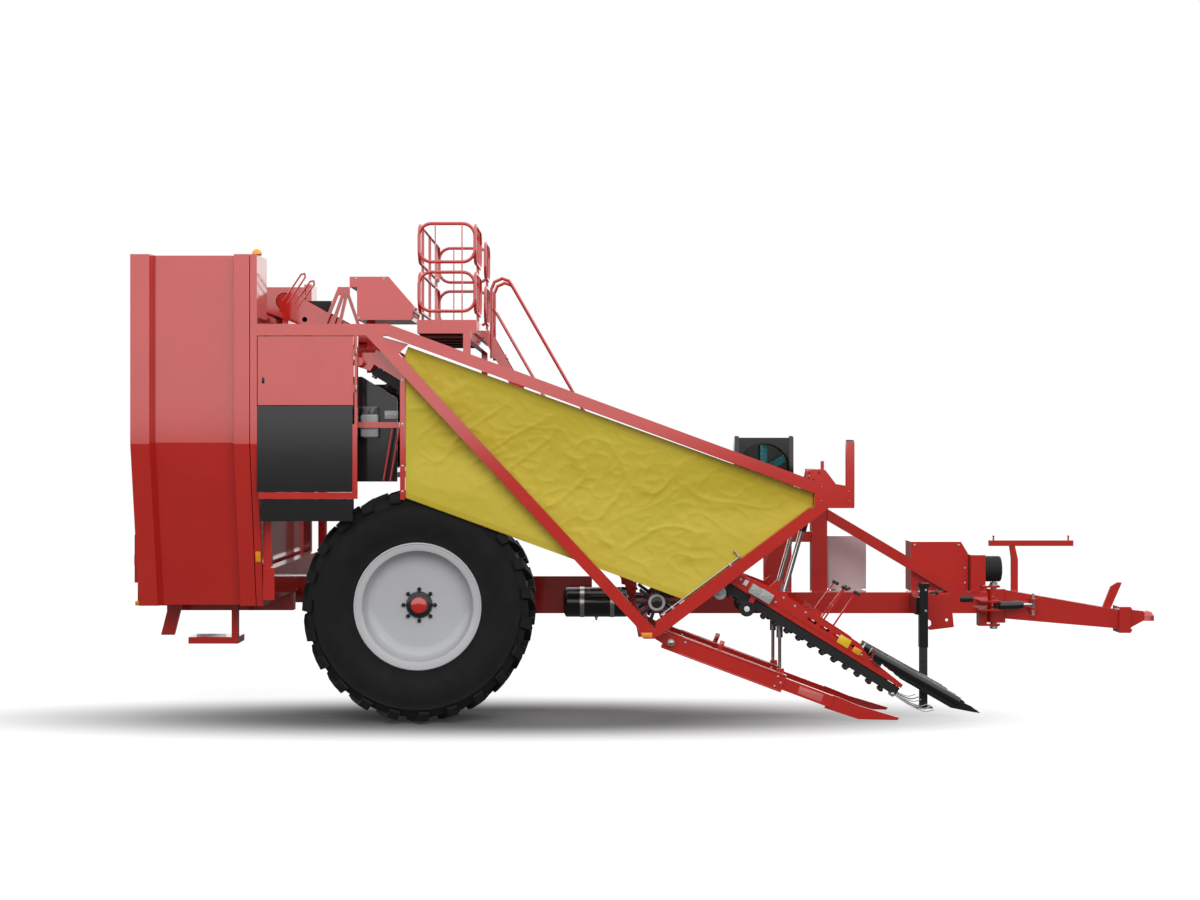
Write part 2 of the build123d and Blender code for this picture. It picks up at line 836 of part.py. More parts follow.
# Fixed headboard ahead of the bunker, a pan of the same outline
board_rear_x = -3553
with BuildPart() as headboard:
    across_profile(bunker_outline(0, bunker_top), board_rear_x, board_rear_x + board_thick)
    across_profile(
        bunker_outline(46, 3520),
        board_rear_x + board_wall,
        board_rear_x + board_thick + 1,
        mode=Mode.SUBTRACT,
    )
    block(board_rear_x - 1, board_rear_x + 60, -1200, 1200, 3566, 4100, mode=Mode.SUBTRACT)
    block(board_rear_x - 1, board_rear_x + 60, 1500, 1540, tip_z - 60, tip_z + 60, mode=Mode.SUBTRACT)
save(headboard, "headboard")

# Tipping cylinder of the bunker, behind it on the left
tip_run = sqrt((tip_high[0] - tip_low[0]) ** 2 + (tip_high[1] - tip_low[1]) ** 2)
tip_x = -4650


def tip_at(x, distance):
    """A point on a tipping cylinder's axis, at a distance from its lower eye."""
    share = distance / tip_run
    y = tip_low[0] + (tip_high[0] - tip_low[0]) * share
    z = tip_low[1] + (tip_high[1] - tip_low[1]) * share
    return (x, y, z)


with BuildPart() as tip_barrels:
    bar((-4684, tip_low[0], tip_low[1]), (-4616, tip_low[0], tip_low[1]), 38)
    bar(tip_at(tip_x, 30), tip_at(tip_x, 1200), 34)
    bar(tip_at(tip_x, 80), tip_at(tip_x, 1201), 24 + run_clear, mode=Mode.SUBTRACT)
    bar((-4685, tip_low[0], tip_low[1]), (-4615, tip_low[0], tip_low[1]), 16 + run_clear, mode=Mode.SUBTRACT)
save(tip_barrels, "tip_barrels")

with BuildPart() as tip_rods:
    bar(tip_at(tip_x, 120), tip_at(tip_x, tip_run), 24)
    bar((-4680, tip_high[0], tip_high[1]), (-4620, tip_high[0], tip_high[1]), 34)
save(tip_rods, "tip_rods")

# Beacon, lamp board and steps at the rear
with BuildPart() as beacon:
    with BuildSketch(Plane.XY.offset(bunker_top)) as dome:
        with Locations((-3524, 90 - side_y)):
            Circle(26)
    extrude(dome.sketch, amount=47)
save(beacon, "beacon")

with BuildPart() as lamp_board:
    block(rear_end_x, rear_end_x + 93, -1000, 1000, 1190, 1620)
    block(
        rear_end_x + lamp_wall,
        rear_end_x + 94,
        -1000 + lamp_wall,
        1000 - lamp_wall,
        1190 + lamp_wall,
        1620 - lamp_wall,
        mode=Mode.SUBTRACT,
    )
    block(rear_end_x + 40, -4560, -400, -350, 930, 980)
    block(rear_end_x + 40, -4560, 350, 400, 930, 980)
    for inner_y in (-400, 350):
        block(rear_end_x + 40, rear_end_x + 90, inner_y, inner_y + 50, 930, 1190 + lamp_wall)
save(lamp_board, "lamp_board")

# Panels of the right side, behind the wheel's rear half
panel_front_x = -2675
with BuildPart() as side_panel:
    block(top_rail_rear_x, panel_front_x, frame_y, frame_y + 40, 2017, 2756)
    block(-3492, -3430, frame_y + 40, post_y, 2100, 2180)
    block(-3464, panel_front_x, frame_y + 10, frame_in - 10, 1767, 1958)
    block(-3400, -3340, frame_y + 61, frame_in - 10, 1957, 2060)
    block(-3400, -3340, frame_y + 30, frame_y + 70, 2016, 2060)
save(side_panel, "side_panel")

knuckle_z = (2905, 3215)
knuckle_height = 34
with BuildPart() as door_post:
    block(-2658, -2636, frame_y, frame_y + 70, 2600, top_rail_z - frame_tube)
    block(panel_front_x, -2636, frame_y, frame_y + 40, 2017, 2600)
    for low in knuckle_z:
        high = low + knuckle_height
        block(-2663, -2650, frame_y - 16, frame_y, low, high)
        bar((-2663, frame_y - 12, low), (-2663, frame_y - 12, high), 9)
    block(-3483, panel_front_x, frame_y, frame_y + 60, 1959, 2015)
    block(panel_front_x, -2636, frame_y, frame_y + 40, 1959, 2017)
    brace_y = frame_in + 120
    block(-2658, -2636, frame_y, brace_y + 30, 2570, 2620)
    block(-2636, -2300, brace_y, brace_y + 30, 2570, 2620)
    for shift in (0, 60):
        bar((-2360 + shift, brace_y + 15, 2575), (-2440 + shift, brace_y + 15, 2110), 8)
save(door_post, "door_post")

door_x = (-3488, -2669)
with BuildPart() as side_door:
    block(door_x[0], door_x[1], frame_y, frame_y + 30, 2763, 3353)
    block(-3470, -2720, frame_y + 15, frame_y + 31, 2800, 3320, mode=Mode.SUBTRACT)
    for seat in knuckle_z:
        high = seat - run_clear
        low = high - knuckle_height
        block(door_x[1] - 10, -2663, frame_y - 16, frame_y, low, high)
        bar((-2663, frame_y - 12, low), (-2663, frame_y - 12, high), 9)
save(side_door, "side_door")

# Yellow canvas hung behind the right side frame
canvas_thick = 6
canvas_y = frame_in + soft_clear + canvas_thick
with BuildPart() as canvas:
    plate(
        [
            (-2234, 3210),
            (-2209, 3270),
            (1286, 2007),
            (1286, 1884),
            (170, 1087),
            (-2232, 1964),
        ],
        canvas_y - canvas_thick,
        canvas_y,
    )
save(canvas, "canvas")

# Lifting unit: two belt channels joined by cross tubes, hung on the pivot shaft
half_unit = unit_width / 2
channel_from = 60
channel_to = 5480
cross_high = channel_high + 80
lift_eye = (1047, 1117)
cheek_outline = (
    (3783, 90),
    (3783, 150),
    (4110, 211),
    (4270, 205),
    (4984, 188),
    (5089, 121),
    (5089, 90),
)
share_top = (1026, 1200)
share_side = 120
nose_from = 5110
nose_heights = (125, 80)
nose_fall = (nose_heights[0] - nose_heights[1]) / (channel_to - nose_from)


def channel_outline(wall):
    """A channel's side view with its tapered nose, drawn in from its top by a wall."""
    open_by = 1 if wall else 0
    return [
        lift_point(channel_from - open_by, channel_low - open_by),
        lift_point(channel_to + open_by, channel_low - open_by),
        lift_point(channel_to + open_by, nose_heights[1] - wall),
        lift_point(nose_from, nose_heights[0] - wall),
        lift_point(nose_from - 90, channel_high - wall),
        lift_point(channel_from - open_by, channel_high - wall),
    ]


with BuildPart() as lift_frame:
    for row in rows:
        plate(channel_outline(0), row - half_unit, row + half_unit)
        inner_half = half_unit - channel_wall
        plate(channel_outline(channel_wall), row - inner_half, row + inner_half, mode=Mode.SUBTRACT)
        for offset in (-half_unit, half_unit - 30):
            hanger = [
                lift_point(-60, -60),
                lift_point(-60, 60),
                lift_point(110, channel_high),
                lift_point(110, -20),
            ]
            plate(hanger, row + offset, row + offset + 30)
            bore = shaft_radius + run_clear
            shaft(pivot_x, pivot_z, bore, row + offset - 1, row + offset + 31, Mode.SUBTRACT)
        for offset in (-34, 22):
            lug = [lift_point(4110, channel_high), lift_point(4270, channel_high), (1075, 1145), (1020, 1145)]
            plate(lug, row + offset, row + offset + 12)
        ear = [lift_point(4010, channel_low), lift_point(4130, channel_low), (1066, 1230), (990, 1230)]
        plate(ear, row + half_unit, row + half_unit + 8)
        shaft(*share_top, 15, row + half_unit, row + share_side + 25)
    for along in (420, 1900, 3300, 4480):
        crossing = quad(lift_point, along, along + 80, channel_high, cross_high)
        plate(crossing, rows[0] - half_unit, rows[1] + half_unit)
    for row in rows:
        cheek = [lift_point(*corner) for corner in cheek_outline]
        plate(cheek, row - half_unit - 8, row - half_unit)
        plate(cheek, row + half_unit, row + half_unit + 8)
        for slit in range(4):
            window = quad(lift_point, 4470 + 130 * slit, 4560 + 130 * slit, 128, 150)
            plate(window, row - half_unit - 9, row + half_unit + 9, mode=Mode.SUBTRACT)
        for along, drop, wheel_radius in ((3976, -68, 65), (3706, -75, 54)):
            arm = [
                lift_point(along - 25, 90),
                lift_point(along + 25, 90),
                lift_point(along + 18, drop - 20),
                lift_point(along - 18, drop - 20),
            ]
            plate(arm, row - half_unit - 8, row - half_unit)
            shaft(*lift_point(along, drop), wheel_radius, row - half_unit - 26, row - half_unit - 8)
            shaft(*lift_point(along, drop), 22, row - half_unit - 34, row - half_unit - 26)
        plate(quad(lift_point, 4015, 4110, 70, 150), row - half_unit - 60, row - half_unit)
        for start, end in (((1337, 876), (1567, 1188)), ((1450, 815), (1671, 1144))):
            box_bar((start[0], row - 60, start[1]), (end[0], row - 60, end[1]), 14, 14)
save(lift_frame, "lift_frame")

shaft_left = rows[1] + 130
link_bars = (
    ((-3106, 3435), (-2935, 3860)),
    ((-3030, 3435), (-2905, 3800)),
    ((-2955, 3435), (-2872, 3800)),
    ((-2734, 3435), (-2858, 3800)),
)
with BuildPart() as lift_shaft:
    shaft(pivot_x, pivot_z, shaft_radius, frame_y + 70, shaft_left)
    block(-3420, -2590, shaft_left - 40, shaft_left, top_rail_z - frame_tube, top_rail_z - 20)
    block(-2680, -2590, shaft_left - 40, shaft_left, pivot_z - 60, top_rail_z - frame_tube)
    for start, end in link_bars:
        box_bar((start[0], shaft_left + 12, start[1]), (end[0], shaft_left + 12, end[1]), 24, 30)
    block(-2953, -2840, shaft_left, shaft_left + 24, 3790, 3866)
    block(-3140, -2700, shaft_left - 20, shaft_left + 24, 3410, 3440)
save(lift_shaft, "lift_shaft")

# Belts: two closed loops a row, on end pulleys and one in the middle
belt_from = 130
belt_width = 64
belt_offset = belt_width / 2 + 1.5
belt_core = belt_width / 2 - belt_thick
lean = radians(lift_slope)


def lift_plane(along, up, y):
    """A plane that lies square to the belts' edges, at a place on the lifting unit."""
    x, z = lift_point(along, up)
    return Plane(origin=(x, y, z), x_dir=(cos(lean), 0, -sin(lean)), z_dir=(sin(lean), 0, cos(lean)))


belt_length = channel_to - belt_from
with BuildPart() as lift_belts:
    for row in rows:
        for side in (-1, 1):
            middle = belt_from + belt_length / 2
            with BuildSketch(lift_plane(middle, -belt_height / 2, row + side * belt_offset)) as loop:
                SlotOverall(belt_length, belt_width)
                SlotOverall(belt_length - 2 * belt_thick, belt_width - 2 * belt_thick, mode=Mode.SUBTRACT)
            extrude(loop.sketch, amount=belt_height)
save(lift_belts, "lift_belts")

with BuildPart() as lift_pulleys:
    for row in rows:
        for side in (-1, 1):
            nose_x = channel_to - belt_width / 2
            nose_top = nose_heights[0] - nose_fall * (nose_x + belt_core - nose_from)
            pulleys = (
                (belt_from + belt_width / 2, channel_high),
                (middle, channel_high),
                (nose_x, nose_top),
            )
            for along, web in pulleys:
                with BuildSketch(lift_plane(along, -belt_height / 2 - 20, row + side * belt_offset)) as core:
                    Circle(belt_core - run_clear)
                extrude(core.sketch, amount=belt_height / 2 + 20 + web - channel_wall)
save(lift_pulleys, "lift_pulleys")

# Dividers: a pair of tubes a row that reach ahead of the belts and lift the leaves
divider_rear = (5120, 176)
divider_tip = (6170, 222)
divider_radius = 38
divider_reach = 105
with BuildPart() as dividers:
    for row in rows:
        seat = [
            lift_point(nose_from + 20, nose_heights[0] - nose_fall * 20 + run_clear),
            lift_point(nose_from + 110, nose_heights[0] - nose_fall * 110 + run_clear),
            lift_point(nose_from + 110, divider_rear[1]),
            lift_point(nose_from + 20, divider_rear[1]),
        ]
        plate(seat, row - divider_reach - 20, row + divider_reach + 20)
        for side in (-divider_reach, divider_reach):
            rear_x, rear_z = lift_point(*divider_rear)
            neck_x, neck_z = lift_point(5960, divider_tip[1] - 12)
            tip_end_x, tip_end_z = lift_point(*divider_tip)
            bar((rear_x, row + side, rear_z), (neck_x, row + side, neck_z), divider_radius)
            skid = [
                lift_point(5300, 150),
                lift_point(5960, 172),
                (neck_x, neck_z),
                (tip_end_x - 30, tip_end_z + 26),
                (tip_end_x, tip_end_z),
                (tip_end_x - 60, tip_end_z + 8),
                lift_point(5930, 128),
                lift_point(5420, 112),
            ]
            plate(skid, row + side - 7, row + side + 7)
save(dividers, "dividers")

# Finger rotors under the belts: shafts on hangers between the two rows
rotor_places = {"front": (3285, -431), "rear": (2349, -321)}
rotor_shaft = 25
finger_count = 10
hanger_ys = (rows[0] + half_unit, rows[1] - half_unit - 10)
with BuildPart() as rotor_hangers:
    for along, up in rotor_places.values():
        for y in hanger_ys:
            plate(quad(lift_point, along - 50, along + 50, up - 50, channel_high - 10), y, y + 10)
            shaft(*lift_point(along, up), rotor_shaft + run_clear, y - 1, y + 11, mode=Mode.SUBTRACT)
save(rotor_hangers, "rotor_hangers")

for place, (along, up) in rotor_places.items():
    rotor_x, rotor_z = lift_point(along, up)
    with BuildPart() as rotor:
        shaft(rotor_x, rotor_z, rotor_shaft, rows[0] - 60, rows[1] + 60)
        for y in (rows[0] - 60, rows[0] + 20, rows[1] - 60, rows[1] + 20):
            with BuildSketch(Plane.XZ.offset(-y - 38)) as star:
                with Locations((rotor_x, rotor_z)):
                    RegularPolygon(80, finger_count)
                    with PolarLocations(120, finger_count):
                        Rectangle(120, 24)
            extrude(star.sketch, amount=38)
    save(rotor, f"rotor_{place}")

# Lift cylinders, one a row, from the brackets down to the lifting unit
lift_run = Vector(lift_eye[0] - lift_top_x, 0, lift_eye[1] - lift_top_z)
lift_way = lift_run.normalized()


def lift_at(row, distance):
    """A point on a lift cylinder's axis, at a distance from its upper eye."""
    return (lift_top_x + lift_way.X * distance, row, lift_top_z + lift_way.Z * distance)


with BuildPart() as lift_barrels:
    for row in rows:
        shaft(lift_top_x, lift_top_z, 34, row - 26, row + 26)
        bar(lift_at(row, 20), lift_at(row, 520), 40)
        bar(lift_at(row, 45), lift_at(row, 521), 22 + run_clear, mode=Mode.SUBTRACT)
        shaft(lift_top_x, lift_top_z, 15 + run_clear, row - 41, row + 41, mode=Mode.SUBTRACT)
save(lift_barrels, "lift_barrels")

with BuildPart() as lift_rods:
    for row in rows:
        bar(lift_at(row, 405), lift_at(row, lift_run.length - 10), 22)
        shaft(*lift_eye, 28, row - 15, row + 15)
save(lift_rods, "lift_rods")

# Share arms on a cross shaft, with a sleeve, a slimmer beam and a blade each
share_pin = (1026, 430)
with BuildPart() as share_arms:
    for row in rows:
        half_arm = arm_width / 2
        plate(quad(share_point, -60, sleeve_length, -77, 78), row - half_arm, row + half_arm)
        plate(quad(share_point, sleeve_length - 10, arm_length, -53, 53), row - 32, row + 32)
        plate([(1400, 130), (1480, 240), (1700, 150), (2057, 42), (2040, 22), (1700, 30)], row - 12, row + 12)
        bore = 30 + run_clear
        shaft(share_x, share_z, bore, row - half_arm - 1, row + half_arm + 1, mode=Mode.SUBTRACT)
        plate([(980, 300), (1070, 300), (1056, 466), (996, 466)], row + half_arm, row + half_arm + 18)
        shaft(*share_pin, 15, row + half_arm, row + share_side - 21)
save(share_arms, "share_arms")

share_run = share_top[1] - share_pin[1]
with BuildPart() as share_barrels:
    for row in rows:
        y = row + share_side
        shaft(*share_top, 26, y - 18, y + 18)
        bar((share_top[0], y, share_top[1] - 16), (share_top[0], y, share_top[1] - 470), 28)
        mouth = (share_top[0], y, share_top[1] - 471)
        bar((share_top[0], y, share_top[1] - 40), mouth, 15 + run_clear, mode=Mode.SUBTRACT)
        shaft(*share_top, 15 + run_clear, y - 19, y + 19, mode=Mode.SUBTRACT)
save(share_barrels, "share_barrels")

with BuildPart() as share_rods:
    for row in rows:
        y = row + share_side
        bar((share_top[0], y, share_top[1] - 260), (share_top[0], y, share_pin[1] + 10), 15)
        shaft(*share_pin, 22, y - 12, y + 12)
save(share_rods, "share_rods")

# Elevator: side plates on legs, two drums and a cleated belt
half_depth = elevator_depth / 2
drum_radius = 70
tail = elevator_length - 30
with BuildPart() as elevator_frame:
    for y in (-elevator_half, elevator_half - 10):
        plate(quad(elevator_point, 0, elevator_length, -half_depth, half_depth), y, y + 10)
        plate([(-3485, 3440), (-3425, 3440), (-3400, 3700), (-3440, 3700)], y, y + 10)
    drum_y = elevator_half - 10
    shaft(*elevator_point(tail, 0), 20, -elevator_half, elevator_half + 100)
    for along in (0, tail):
        shaft(*elevator_point(along, 0), drum_radius - run_clear, -drum_y, drum_y)
    for along in (500, 1200):
        plate(quad(elevator_point, along, along + 60, -30, 30), -elevator_half, elevator_half)
    shaft(-3262, 3572, 24, -elevator_half - 1, -elevator_half + 11, mode=Mode.SUBTRACT)
    hoop_y = 5 - elevator_half
    for foot, crown in (((-3441, 3729), (-3263, 3993)), ((-3345, 3697), (-3180, 3927))):
        rise = (Vector(crown[0], 0, crown[1]) - Vector(foot[0], 0, foot[1])).normalized()
        apart = Vector(rise.Z, 0, -rise.X) * hoop_half
        low = Vector(foot[0], hoop_y, foot[1])
        high = Vector(crown[0], hoop_y, crown[1]) - rise * hoop_half
        tube([low - apart, high - apart, high + rise * hoop_half, high + apart, low + apart], 8)
save(elevator_frame, "elevator_frame")

cleat_count = 10
cleat_pitch = 185
with BuildPart() as elevator_belt:
    mid_x, mid_z = elevator_point(tail / 2, 0)
    slope = radians(elevator_slope)
    belt_plane = Plane(
        origin=(mid_x, elevator_half - 16, mid_z),
        x_dir=(cos(slope), 0, -sin(slope)),
        z_dir=(0, -1, 0),
    )
    with BuildSketch(belt_plane):
        SlotCenterToCenter(tail, 2 * drum_radius + 20)
        for cleat in range(cleat_count):
            for side in (-1, 1):
                with Locations((-tail / 2 + 60 + cleat * cleat_pitch, side * (drum_radius + 18))):
                    Rectangle(10, 24)
        SlotCenterToCenter(tail, 2 * drum_radius, mode=Mode.SUBTRACT)
    extrude(amount=2 * elevator_half - 32)
save(elevator_belt, "elevator_belt")

# Cleaner behind the lifting unit: rollers between two baffles, with a drive motor
roller_radius = 55
roller_count = 7
roller_x = (-3330, -2400)
roller_z = 2180
baffle_in = post_y + post_size
with BuildPart() as cleaner:
    baffle = [(-3490, 2100), (-2330, 2100), (-2330, 2830), (-2640, 3020), (-3490, 3020)]
    plate(baffle, baffle_in, baffle_in + 10)
    plate(baffle, 690, 700)
    roller_pitch = (roller_x[1] - roller_x[0]) / (roller_count - 1)
    for roller in range(roller_count):
        shaft(roller_x[0] + roller * roller_pitch, roller_z, roller_radius, baffle_in + 5, 695)
    block(-2632, -2493, baffle_in - 90, baffle_in + 5, 2480, 2750)
save(cleaner, "cleaner")

# Topper hood over the lifting unit's rear end, on one leg
with BuildPart() as topper_hood:
    hood = [
        (-2757, 3903),
        (-2413, 3903),
        (-2190, 3645),
        (-2217, 3522),
        (-2692, 3522),
        (-2692, 3812),
        (-2757, 3812),
    ]
    plate(hood, -1250, shaft_left)
    block(-2680, -2600, shaft_left - 40, shaft_left, top_rail_z - 20, 3522)
save(topper_hood, "topper_hood")

# Left post and crosswise carrier of the platform, with a short post on the right side frame
carrier_x = (-1728, -1668)
carrier_low = deck_z - 80
with BuildPart() as platform_frame:
    foot = [
        (carrier_x[0], rail_height(carrier_x[0])),
        (carrier_x[1], rail_height(carrier_x[1])),
        (carrier_x[1], carrier_low),
        (carrier_x[0], carrier_low),
    ]
    plate(foot, frame_y + 10, frame_in - 10)
    block(*carrier_x, frame_y + 10, 780, carrier_low, deck_z)
    block(*carrier_x, 700, 780, 1050, carrier_low)
    block(*carrier_x, beam_half, 700, 1050, 1150)
    tail_x, tail_z = elevator_point(tail, 0)
    block(tail_x - 40, carrier_x[0], 700, 760, tail_z - 40, tail_z + 40)
save(platform_frame, "platform_frame")

# Platform deck with toe boards
toe_board = 8
with BuildPart() as platform:
    block(*platform_x, *platform_y, deck_z, deck_top)
    block(
        platform_x[0] + toe_board,
        platform_x[1] - toe_board,
        platform_y[0] + toe_board,
        platform_y[1] - toe_board,
        deck_z + 40,
        deck_top + 1,
        mode=Mode.SUBTRACT,
    )
save(platform, "platform")

# Platform rails: bent tube loops, two high, on flat uprights, open at the ladder
half_rail = rail_size / 2
rail_bend = 110
ladder_y = (-300, 170)
loop_heights = ((deck_top + 515, rail_z), (deck_top + 78, deck_top + 424))


def loop_outline(low_from, low_to, high_from, high_to):
    """A closed loop with bent corners, begun in the middle of its lower run."""
    points = [((low_from + low_to) / 2, high_from)]
    corners = (
        (low_to - rail_bend, high_from + rail_bend, -90),
        (low_to - rail_bend, high_to - rail_bend, 0),
        (low_from + rail_bend, high_to - rail_bend, 90),
        (low_from + rail_bend, high_from + rail_bend, 180),
    )
    for middle_u, middle_z, first in corners:
        for step in (0, 45, 90):
            turn = radians(first + step)
            points.append((middle_u + rail_bend * cos(turn), middle_z + rail_bend * sin(turn)))
    return points


end_ys = (platform_y[0] + half_rail, platform_y[1] - half_rail)
side_xs = (platform_x[0] + half_rail, platform_x[1] - half_rail)
gate_y = (ladder_y[0] - 75, ladder_y[1] + 75)
with BuildPart() as platform_rails:
    for low, high in loop_heights:
        for y in end_ys:
            tube([(x, y, z) for x, z in loop_outline(*side_xs, low, high)], half_rail, close=True)
        runs = (
            (side_xs[0], end_ys[0] + 20, end_ys[1] - 20),
            (side_xs[1], end_ys[0] + 20, gate_y[0]),
            (side_xs[1], gate_y[1], end_ys[1] - 20),
        )
        for x, y_from, y_to in runs:
            tube([(x, y, z) for y, z in loop_outline(y_from, y_to, low, high)], half_rail, close=True)
    for y in end_ys:
        for x in (-2013, -1776):
            block(x - 5, x + 5, y - 13, y + 13, deck_top, rail_z)
    for y in (-800, -150, 500):
        block(side_xs[0] - 13, side_xs[0] + 13, y - 5, y + 5, deck_top, rail_z)
    for y in (-750, 530):
        block(side_xs[1] - 13, side_xs[1] + 13, y - 5, y + 5, deck_top, rail_z)
save(platform_rails, "platform_rails")

# Ladder: stringers and treads from the platform down to the main beam, with handrails
ladder_top = (-1604, 3440)
ladder_low = (-236, 1050)
tread_count = 9
knee_offset = 175
hand_offset = 432
hand_radius = 15
ladder_slope = atan2(ladder_top[1] - ladder_low[1], ladder_low[0] - ladder_top[0])


def ladder_point(along, up):
    """A point of the ladder's side view: down along a stringer, and square to it."""
    x = ladder_top[0] + along * cos(ladder_slope) + up * sin(ladder_slope)
    z = ladder_top[1] - along * sin(ladder_slope) + up * cos(ladder_slope)
    return (x, z)


stub_along = 2290
hand_post_x = -1567
with BuildPart() as ladder:
    for y in (ladder_y[0] + 6, ladder_y[1] - 6):
        box_bar((ladder_top[0], y, ladder_top[1]), (ladder_low[0], y, ladder_low[1]), 12, 90)
        block(platform_x[1], ladder_top[0] + 20, y - 6, y + 6, 3430, 3490)
        block(hand_post_x - 15, -1480, y - 6, y + 6, 3230, 3260)
        crook = [
            (hand_post_x, 3240),
            (hand_post_x, 3880),
            (-1540, 3945),
            (-1467, 3977),
            (-1405, 3955),
            ladder_point(-308, hand_offset),
        ]
        grip = crook + [ladder_point(stub_along, hand_offset), ladder_point(stub_along, 0)]
        tube([(x, y, z) for x, z in grip], hand_radius)
        knee = [ladder_point(-190, knee_offset), ladder_point(stub_along, knee_offset)]
        tube([(x, y, z) for x, z in knee], 11)
    for tread in range(tread_count):
        share = (tread + 0.7) / tread_count
        x = ladder_top[0] + (ladder_low[0] - ladder_top[0]) * share
        z = ladder_top[1] + (ladder_low[1] - ladder_top[1]) * share
        block(x - 70, x + 70, ladder_y[0] + 6, ladder_y[1] - 6, z - 12, z + 12)
    block(ladder_low[0] - 60, ladder_low[0] + 20, ladder_y[0], ladder_y[1], beam_top, beam_top + 30)
save(ladder, "ladder")
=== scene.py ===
import math

import bpy
from mathutils import Matrix, Vector, noise


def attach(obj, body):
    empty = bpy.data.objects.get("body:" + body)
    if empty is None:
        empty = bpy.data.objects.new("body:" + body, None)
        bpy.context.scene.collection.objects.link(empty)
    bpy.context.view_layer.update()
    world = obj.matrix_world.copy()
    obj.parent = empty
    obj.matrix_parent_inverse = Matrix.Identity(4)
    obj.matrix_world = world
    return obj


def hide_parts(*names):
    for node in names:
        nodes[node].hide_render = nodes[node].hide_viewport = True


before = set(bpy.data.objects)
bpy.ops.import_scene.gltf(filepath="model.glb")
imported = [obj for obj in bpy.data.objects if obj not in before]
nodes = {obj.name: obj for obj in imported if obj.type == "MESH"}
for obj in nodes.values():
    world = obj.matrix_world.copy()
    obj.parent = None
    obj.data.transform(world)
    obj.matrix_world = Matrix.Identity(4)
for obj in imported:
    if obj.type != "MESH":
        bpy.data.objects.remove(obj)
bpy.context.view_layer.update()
bpy.ops.object.select_all(action="DESELECT")


# The main beam, axle and rear frame are folded and welded plate, blasted and coated with a red
# lacquer. The coat is thick and glossy, with a fine orange peel and a tone that runs a little.
def new_material(name):
    """An empty node material and the two nodes that each finish starts from."""
    finish = bpy.data.materials.new(name)
    finish.use_nodes = True
    tree = finish.node_tree
    shader = tree.nodes["Principled BSDF"]
    place = tree.nodes.new("ShaderNodeTexCoord")
    return finish, tree, shader, place


def feed(tree, node, sockets):
    """Gives each socket named a value, or links it to another node's output."""
    for socket, source in sockets.items():
        if isinstance(source, bpy.types.NodeSocket):
            tree.links.new(source, node.inputs[socket])
        else:
            node.inputs[socket].default_value = source


def shading(tree, kind, sockets, **settings):
    """A new shader node of a kind, with its settings and its sockets fed."""
    node = tree.nodes.new(f"ShaderNode{kind}")
    for setting, value in settings.items():
        setattr(node, setting, value)
    feed(tree, node, sockets)
    return node


def speckle(tree, place, scale, detail=3.0, stretch=None):
    """A noise pattern at a scale of so many spots a metre, stretched along an axis if asked."""
    source = place.outputs["Object"]
    if stretch:
        source = shading(tree, "Mapping", {"Scale": stretch, "Vector": source}).outputs["Vector"]
    spots = {"Scale": scale, "Detail": detail, "Vector": source}
    return shading(tree, "TexNoise", spots).outputs["Fac"]


def two_tone(tree, pattern, dark, light, low=0.3, high=0.7):
    """Turns a pattern into a run of colour from one tone to another."""
    ramp = tree.nodes.new("ShaderNodeValToRGB")
    ramp.color_ramp.elements[0].position = low
    ramp.color_ramp.elements[1].position = high
    ramp.color_ramp.elements[0].color = (*dark, 1)
    ramp.color_ramp.elements[1].color = (*light, 1)
    tree.links.new(pattern, ramp.inputs["Fac"])
    return ramp.outputs["Color"]


def relief(tree, pattern, depth, strength=1.0, over=None):
    """The relief of a pattern, in metres, over another relief if asked."""
    sockets = {"Distance": depth, "Strength": strength, "Height": pattern}
    if over:
        sockets["Normal"] = over
    return shading(tree, "Bump", sockets).outputs["Normal"]


def lacquer(name, dark, light, coat_ior, peel=0.00012, roughness=0.42):
    """A glossy coat over a dull coloured ground, with a fine orange peel."""
    finish, tree, shader, place = new_material(name)
    sockets = {
        "Base Color": two_tone(tree, speckle(tree, place, 1.7, 5.0), dark, light),
        "Roughness": roughness,
        "Specular IOR Level": 0.12,
        "Coat Weight": 1.0,
        "Coat Roughness": 0.09,
        "Coat IOR": coat_ior,
        "Normal": relief(tree, speckle(tree, place, 260.0, 2.0), peel),
    }
    feed(tree, shader, sockets)
    return finish


def coat(names, finish):
    """Puts a finish on the nodes named, in each of their slots."""
    for name in names.split():
        data = nodes[name].data
        if not data.materials:
            data.materials.append(finish)
        for slot in range(len(data.materials)):
            data.materials[slot] = finish


red_paint = lacquer("red_lacquer", (0.455, 0.013, 0.008), (0.505, 0.018, 0.011), 1.92)
coat("main_beam axle_beam rear_frame rear_posts lift_shaft gearbox", red_paint)


def settled(piece, name):
    """Names a piece, puts its place in its mesh and opens it for shaping, all selected."""
    piece.name = name
    bpy.ops.object.transform_apply()
    bpy.ops.object.mode_set(mode="EDIT")
    bpy.ops.mesh.select_all(action="SELECT")
    return piece


def slab(name, low, high, edge, turn=0.0, segments=2):
    """A plate between two corners with rounded edges, turned about its middle if asked."""
    bpy.ops.object.select_all(action="DESELECT")
    middle = (Vector(low) + Vector(high)) / 2
    bpy.ops.mesh.primitive_cube_add(size=1, location=middle, rotation=(0, turn, 0))
    bpy.context.object.scale = Vector(high) - Vector(low)
    piece = settled(bpy.context.object, name)
    bpy.ops.mesh.bevel(offset=edge, segments=segments, affect="EDGES")
    bpy.ops.object.mode_set(mode="OBJECT")
    bpy.ops.object.shade_smooth_by_angle(angle=math.radians(35))
    return piece


